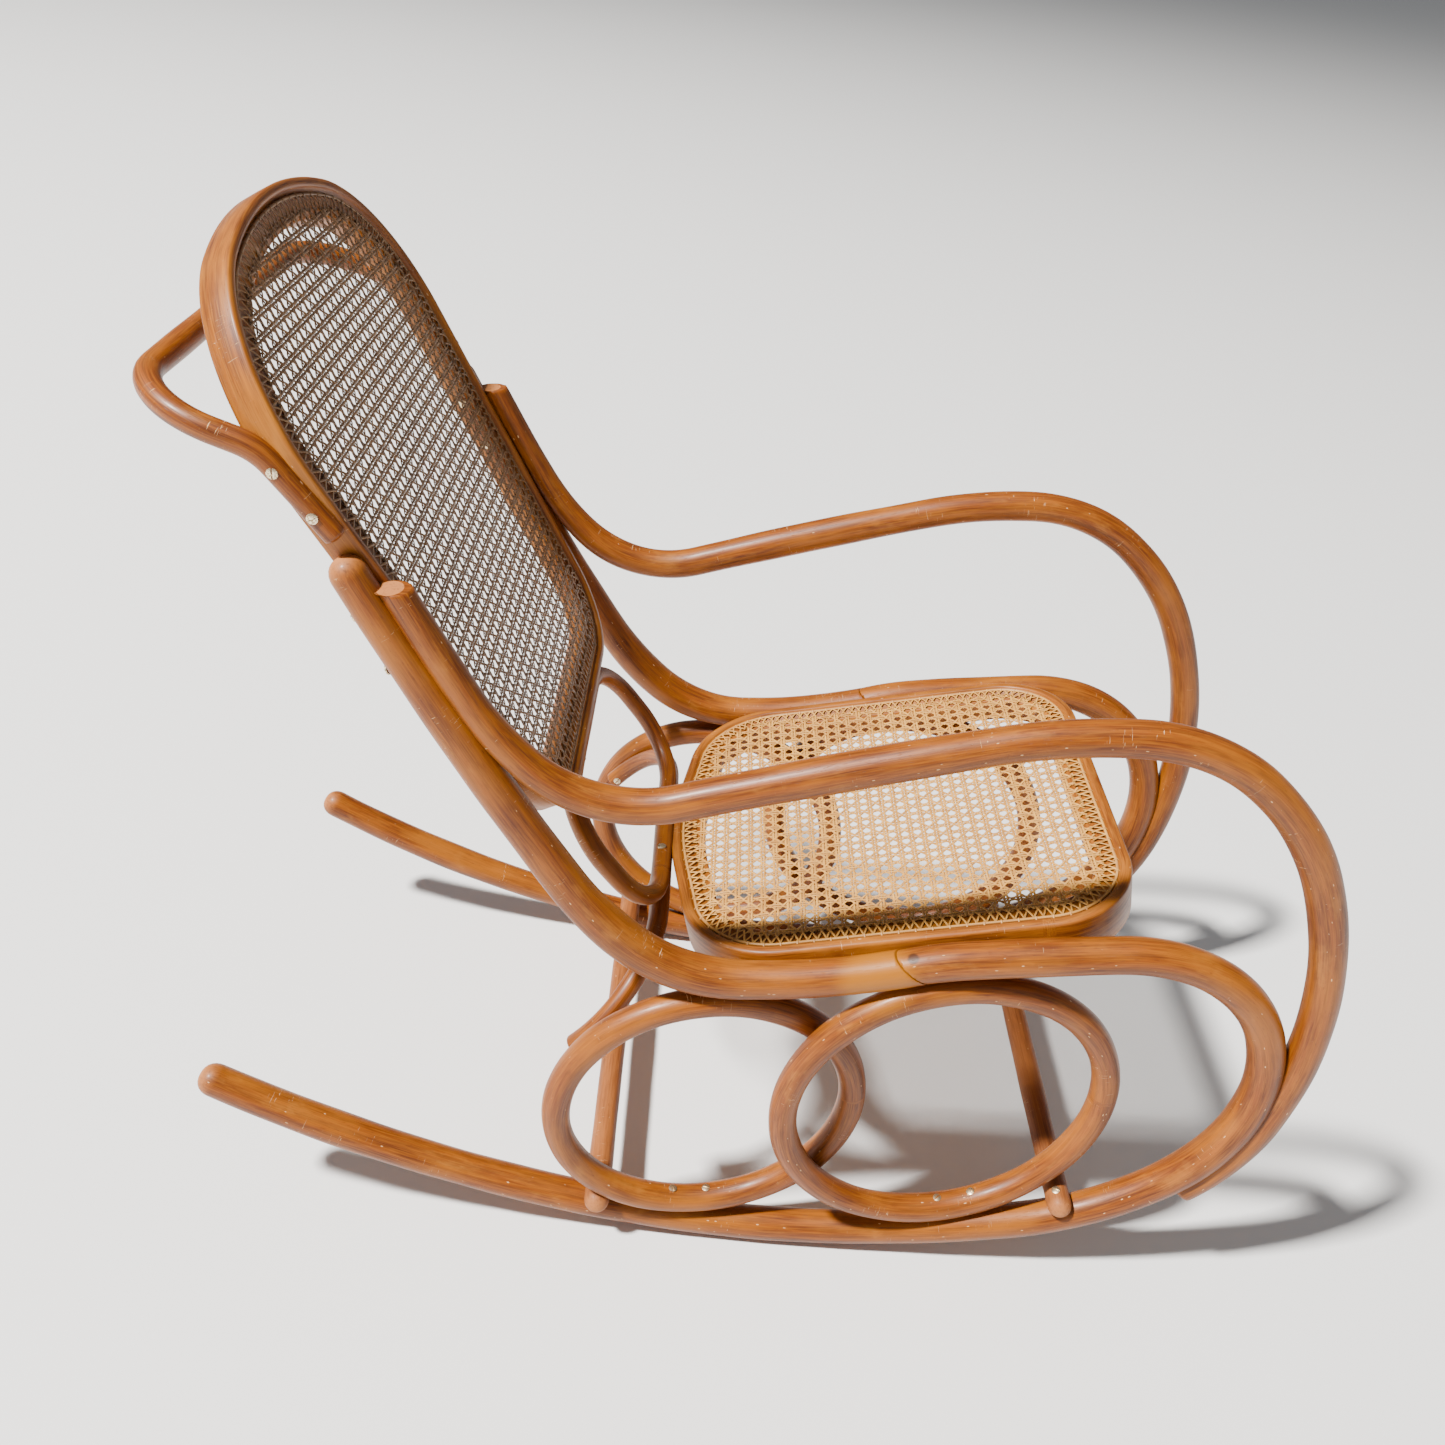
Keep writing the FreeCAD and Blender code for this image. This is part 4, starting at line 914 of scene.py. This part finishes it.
for bar, sign, thick in ((stretchers["front"], 1, screwPlan["barTube"]),
                         (stretchers["rear"], -1, screwPlan["runnerTube"])):
    centre = np.array([bar["at"][0], -restPose["sideY"], bar["at"][1]])
    hit = nearest(runnerPath, centre)
    up = unit(centre - hit)
    places.append((centre if sign > 0 else hit) + sign * up * thick)
    normals.append(sign * up)
headsOn("stretcher_screws", places, normals, (60, 10), True)
places = placeBack(np.array([[up, backPanel["rim"] - backPanel["bottomHalf"] - widen * up,
                              screwPlan["backFace"]] for up in screwPlan["backUp"]]))
headsOn("back_screws", places, [yAxis] * 2, (0, 45), True)
places = placeSeat(np.array([[along, -(seatPanel["half"] - seatPanel["apron"]), -screwPlan["seatUnder"]]
                             for along in screwPlan["seatAlong"]]))
headsOn("seat_screws", places, [yAxis] * 2, (30, 70), True)
outward, tube = -screwPlan["barOut"] * yAxis, screwPlan["bendTube"]
headsOn("back_ring_screws", [high + outward - ringUp * tube, low + outward + tube * heading(90)],
        [-ringUp, heading(90)], (45, 20), True)
seatWay = heading(seatPlane["tilt"])
bowLegSpot = bowBend + tube * yAxis
screwHeads("bow_screws", np.array([bowLegSpot, mirrored(bowLegSpot), bowCross - seatWay * tube]),
           [yAxis, -yAxis, -seatWay], (10, 50, 90), ["bow_screws"])
print("screws done")

stageLook = {"floor": (0.82, 0.82, 0.815, 1), "floorRough": 0.7, "size": 400.0,
             "air": (0.95, 0.97, 1.0, 1), "airStrength": 0.24, "aim": (0.0, 0.0, 0.4)}
lamps = {"key": {"at": (-9.0, -4.05, 14.2), "power": 10350.0, "size": 1.2, "color": (1.0, 0.97, 0.93)},
         "fill": {"at": (2.6, -2.4, 2.2), "power": 5.0, "size": 2.6, "color": (0.95, 0.97, 1.0)}}
half = stageLook["size"] / 2
floorMesh = bpy.data.meshes.new("floor")
floorMesh.from_pydata([(-half, -half, 0), (half, -half, 0), (half, half, 0), (-half, half, 0)], [],
                      [(0, 1, 2, 3)])
floor = bpy.data.objects.new("floor", floorMesh)
bpy.context.scene.collection.objects.link(floor)
floorPaint, _, shader = newMaterial("paleFloor")
shader.inputs["Base Color"].default_value = stageLook["floor"]
shader.inputs["Roughness"].default_value = stageLook["floorRough"]
floorMesh.materials.append(floorPaint)

world = bpy.data.worlds.new("softAir")
world.use_nodes = True
air = world.node_tree.nodes["Background"].inputs
air["Color"].default_value, air["Strength"].default_value = stageLook["air"], stageLook["airStrength"]
bpy.context.scene.world = world


def placed(axes, at):  # matrix whose columns are the three axes and the place
    table = np.eye(4)
    table[:3, :3], table[:3, 3] = np.asarray(axes).T, at
    return Matrix(table.tolist())


def softLight(name, at, power, size, color):
    lamp = bpy.data.lights.new(name, "AREA")
    lamp.energy, lamp.size, lamp.color = power, size, color
    obj = bpy.data.objects.new(name, lamp)
    back = unit(np.array(at) - np.array(stageLook["aim"]))
    right = unit(np.cross((0, 0, 1), back))
    up = np.cross(back, right)
    obj.matrix_world = placed(np.stack([right, up, back]), at)
    bpy.context.scene.collection.objects.link(obj)


for name, lamp in lamps.items():
    softLight(name, **lamp)

# the camera looks down from above the right side, turned with the chair's own tip
view = {"at": (0.0, -1100.0, 1257.0), "right": (0.99987, 0.01602, 0.0),
        "ahead": (-0.01335, 0.83353, -0.55231), "lens": 31.88, "sensor": 36.0}
right = unit(np.array(view["right"]))
ahead = unit(np.array(view["ahead"]))
axes = np.stack([right, unit(np.cross(right, ahead)), -ahead])
origin = toRoom(np.zeros(3))
axes = toRoom(axes * 1000.0) - origin
eye = toRoom(view["at"])
cameraData = bpy.data.cameras.new("view")
cameraData.sensor_width, cameraData.lens = view["sensor"], view["lens"]
camera = bpy.data.objects.new("view", cameraData)
camera.matrix_world = placed(axes, eye)
bpy.context.scene.collection.objects.link(camera)
bpy.context.scene.camera = camera
